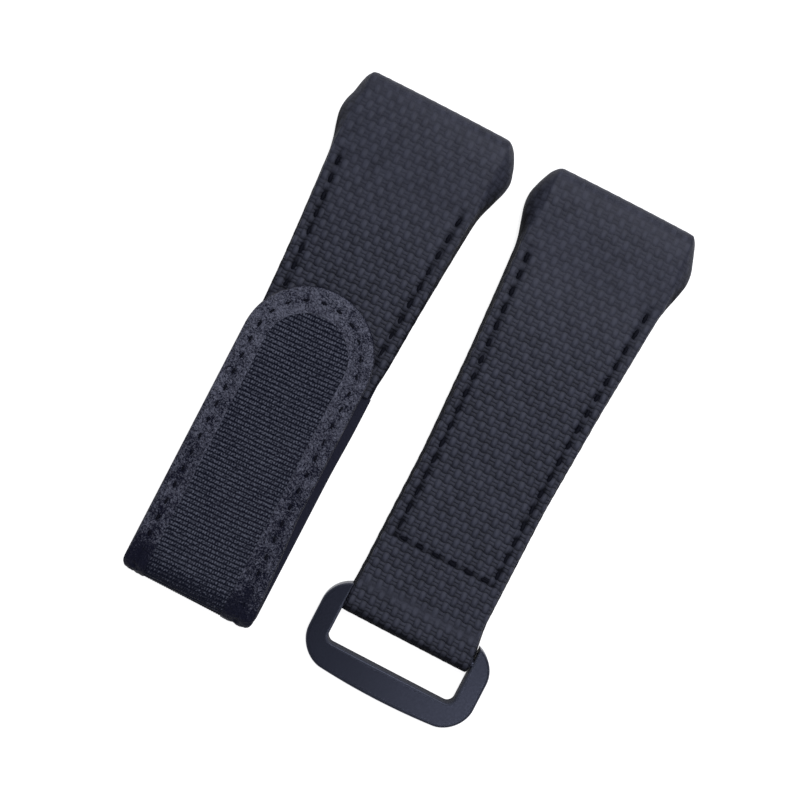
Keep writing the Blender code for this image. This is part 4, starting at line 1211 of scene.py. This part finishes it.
# Stitches round the flap's border.
# The same thread as on the skins, one row in the middle of the border, pulled tighter and half
# sunk in the leather.

FLAP_STITCH_SHARE = 0.60
FLAP_THREAD_RADIUS = 0.00015
FLAP_STITCH_DIVE = 0.00021
FLAP_ROW_SINK = 0.00016


def flap_row():
    """Needle holes along the middle of the border, a whole stitch apart from the fold round to the fold."""
    outer, inner = flap_outlines()
    line = (outer + inner) / 2
    run = length_along(line)
    up_side = slice(FLAP_SIDE_ROWS)
    first = np.interp(top_along(FOLD_Y + STITCH_PITCH), line[up_side, 1], run[up_side])
    places = np.arange(math.ceil(first / STITCH_PITCH), (run[-1] - first) / STITCH_PITCH) * STITCH_PITCH
    x, along = (np.interp(places, run, line[:, column]) for column in (0, 1))
    return tail_point(x, along, FLAP_ROW_SINK)


needle = flap_row()
heading = np.gradient(needle, axis=0)
heading /= np.linalg.norm(heading, axis=1, keepdims=True)
sideways = np.cross(heading, (0, 0, 1))
flap_stitches = thread_run("flap_sewn_row", needle, sideways, np.cross(sideways, heading), thread, "flap",
                           FLAP_STITCH_SHARE, FLAP_THREAD_RADIUS, FLAP_STITCH_DIVE)
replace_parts(flap_stitches, "flap_stitch")

# The ring.
# Flat steel ring, stamped, with matt black coating worn a little at its corners. The strap's turn
# hides the round bar between its arms, on which it swings.

RING_CENTRE = RING_AXIS + 0.0005
SLOT_HALF = 0.01045
RING_HALF = 0.01365
RING_TOP_Y = -0.0270
RING_FOOT_Y = -0.0401
SLOT_TOP_Y = RING_TOP_Y - 0.0004
SLOT_FOOT_Y = -0.0367
RING_THICKNESS = 0.0023
TOP_CORNER = 0.0046
FOOT_CORNER = 0.0044
SLOT_CORNER = 0.0012
FOOT_BOW = 0.0009
OUTLINE_POINTS = 460
RING_OUTER_ROUND = 0.00035
SLOT_ROUND = 0.00022
WORN_REACH = 0.00022
WORN_ABOVE = 0.0015
BAR_RADIUS = 0.0007
BAR_LAP = 0.001


def corner_run(x, y, radius, first, last, steps):
    """Points of an arc about a centre between two angles in degrees."""
    angle = np.radians(np.linspace(first, last, steps))
    return np.stack([x + radius * np.cos(angle), y + radius * np.sin(angle)], 1)


def ring_outline(left_half):
    """Points at even lengths along a left half and its mirror image."""
    whole = np.concatenate([left_half, (left_half * (-1, 1))[::-1]])
    run = length_along(whole)
    places = np.linspace(0, 1, OUTLINE_POINTS) * run[-1]
    return np.stack([np.interp(places, run, whole[:, column]) for column in (0, 1)], 1)


def ring_outlines():
    """Outer and inner outline from the top of the left arm, round the foot, to the top of the right arm.

    Round corners join straight runs, and the foot bows outwards by a parabola between its corners.
    """
    arm_start = 180 - math.degrees(math.acos((SLOT_HALF - (RING_HALF - TOP_CORNER)) / TOP_CORNER))
    outer = ring_outline(np.concatenate([
        corner_run(-RING_HALF + TOP_CORNER, RING_TOP_Y - TOP_CORNER, TOP_CORNER, arm_start, 180, 30),
        corner_run(-RING_HALF + FOOT_CORNER, RING_FOOT_Y + FOOT_CORNER, FOOT_CORNER, 180, 270, 34)]))
    inner = ring_outline(np.concatenate([
        np.array([[-SLOT_HALF, SLOT_TOP_Y]]),
        corner_run(-SLOT_HALF + SLOT_CORNER, SLOT_FOOT_Y + SLOT_CORNER, SLOT_CORNER, 180, 270, 30)]))
    near_foot = np.clip(1 - (outer[:, 1] - RING_FOOT_Y) / FOOT_CORNER, 0, 1)
    outer[:, 1] -= FOOT_BOW * near_foot * (1 - (outer[:, 0] / RING_HALF) ** 2)
    return outer + (RING_CENTRE, 0), inner + (RING_CENTRE, 0)


def coated_steel(tree, rough, shine):
    """Black oxide on steel: matt, faintly blue, a little lighter where edges rub.

    Its grain is drawn at 0.38 mm, coarser than a real coating's, and it clouds over 4.2 mm.
    """
    object_place = add(tree, "TexCoord", out="Object")
    speck = add(tree, "TexNoise", {"Vector": object_place, "Scale": 1000 / 0.3846, "Detail": 4.0,
                                   "Roughness": 0.7})
    cloud = add(tree, "TexNoise", {"Vector": object_place, "Scale": 1000 / 4.167, "Detail": 3.0})
    half_cloud = add(tree, "Math", (cloud, 0.5), operation="MULTIPLY")
    tone = add(tree, "Math", (speck, 0.5, half_cloud), operation="MULTIPLY_ADD")
    plain = add(tree, "Mix", {0: tone, 6: linear("#0a0c12"), 7: linear("#181a24")}, out=2, data_type="RGBA")
    pale_mark = add(tree, "Attribute", attribute_name="edge", out="Fac")
    colour = add(tree, "Mix", {0: pale_mark, 6: plain, 7: linear("#50535f")}, out=2, data_type="RGBA")
    speck_rough = add(tree, "Math", (speck, 0.16, rough), operation="MULTIPLY_ADD")
    bump = add(tree, "Bump", {"Strength": 0.25, "Distance": 0.00003, "Height": speck})
    return add(tree, "BsdfPrincipled", {"Base Color": colour, "Specular IOR Level": shine,
                                        "Roughness": speck_rough, "Normal": bump,
                                        "Specular Tint": linear("#ced6f8")})


def ring_frame(coat, slot_wall):
    """The flat ring: a band between its outlines with small rounds on all four long edges.

    The coat covers it; faces that look into the slot have the punched wall's duller finish.
    """
    outer, inner = ring_outlines()
    width = np.maximum(np.hypot(*(outer - inner).T), 1e-6)
    wide = width[:, None]
    first, last = (np.minimum(radius, 0.45 * width)[:, None] for radius in (RING_OUTER_ROUND, SLOT_ROUND))
    turn = np.linspace(0, np.pi / 2, 6)
    face = np.linspace(0, 1, 14)[None, 1:-1]
    upper = np.concatenate([first * (1 - np.cos(turn)), first + (wide - first - last) * face,
                            wide - last * (1 - np.cos(turn[::-1]))], 1)
    drop = np.concatenate([RING_OUTER_ROUND * (1 - np.sin(turn)), np.zeros(face.size),
                           SLOT_ROUND * (1 - np.sin(turn[::-1]))])
    level = np.repeat(RING_THICKNESS - drop[None], len(width), 0)
    off = np.concatenate([upper, upper[:, ::-1]], 1)
    z = np.concatenate([level, RING_THICKNESS - level[:, ::-1]], 1)
    plan = outer[:, None, :] + (inner - outer)[:, None, :] * (off / wide)[:, :, None]
    pale_mark = 0.55 * bell(np.minimum(off, wide - off), WORN_REACH) * (z > WORN_ABOVE)
    pale_mark = np.concatenate([pale_mark[:1], pale_mark, pale_mark[-1:]])
    points = capped(np.concatenate([plan, z[:, :, None]], 2))
    item = solid_from_grid("ring_frame", points, fields={"edge": pale_mark}, sharp=50, material=coat)
    item.data.materials.append(slot_wall)
    centre, normal = np.empty((2, len(item.data.polygons), 3))
    item.data.polygons.foreach_get("center", centre.ravel())
    item.data.polygons.foreach_get("normal", normal.ravel())
    slot_middle = np.array([RING_CENTRE, inner[:, 1].mean(), 0])
    inwards = ((centre - slot_middle) * normal)[:, :2].sum(axis=1) < 0
    upright = np.abs(normal[:, 2]) < 0.6
    item.data.polygons.foreach_set("material_index", (inwards & upright).astype(np.int32))
    return item


def ring_bar(material):
    """Round bar between the arms, with both ends inside them."""
    angle = np.linspace(0, 2 * np.pi, 32, endpoint=False)
    x = (np.linspace(-SLOT_HALF - BAR_LAP, SLOT_HALF + BAR_LAP, 8) + RING_CENTRE)[:, None]
    y, z = BAR_Y + BAR_RADIUS * np.cos(angle), TURN_RADIUS + BAR_RADIUS * np.sin(angle)
    points = capped(np.stack(np.broadcast_arrays(x, y, z), 2))
    return solid_from_grid("ring_bar_band", points, fields={"edge": np.zeros(points.shape[:2])}, sharp=50,
                           material=material)


steel_coat = new_material("black_coated_steel", coated_steel, 0.26, 0.27)
punched_steel = new_material("black_punched_steel", coated_steel, 0.60, 0.09)
steel_ring = joined("steel_ring", [ring_frame(steel_coat, punched_steel), ring_bar(steel_coat)])
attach(steel_ring, "ring_loop")
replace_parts(steel_ring, "ring")
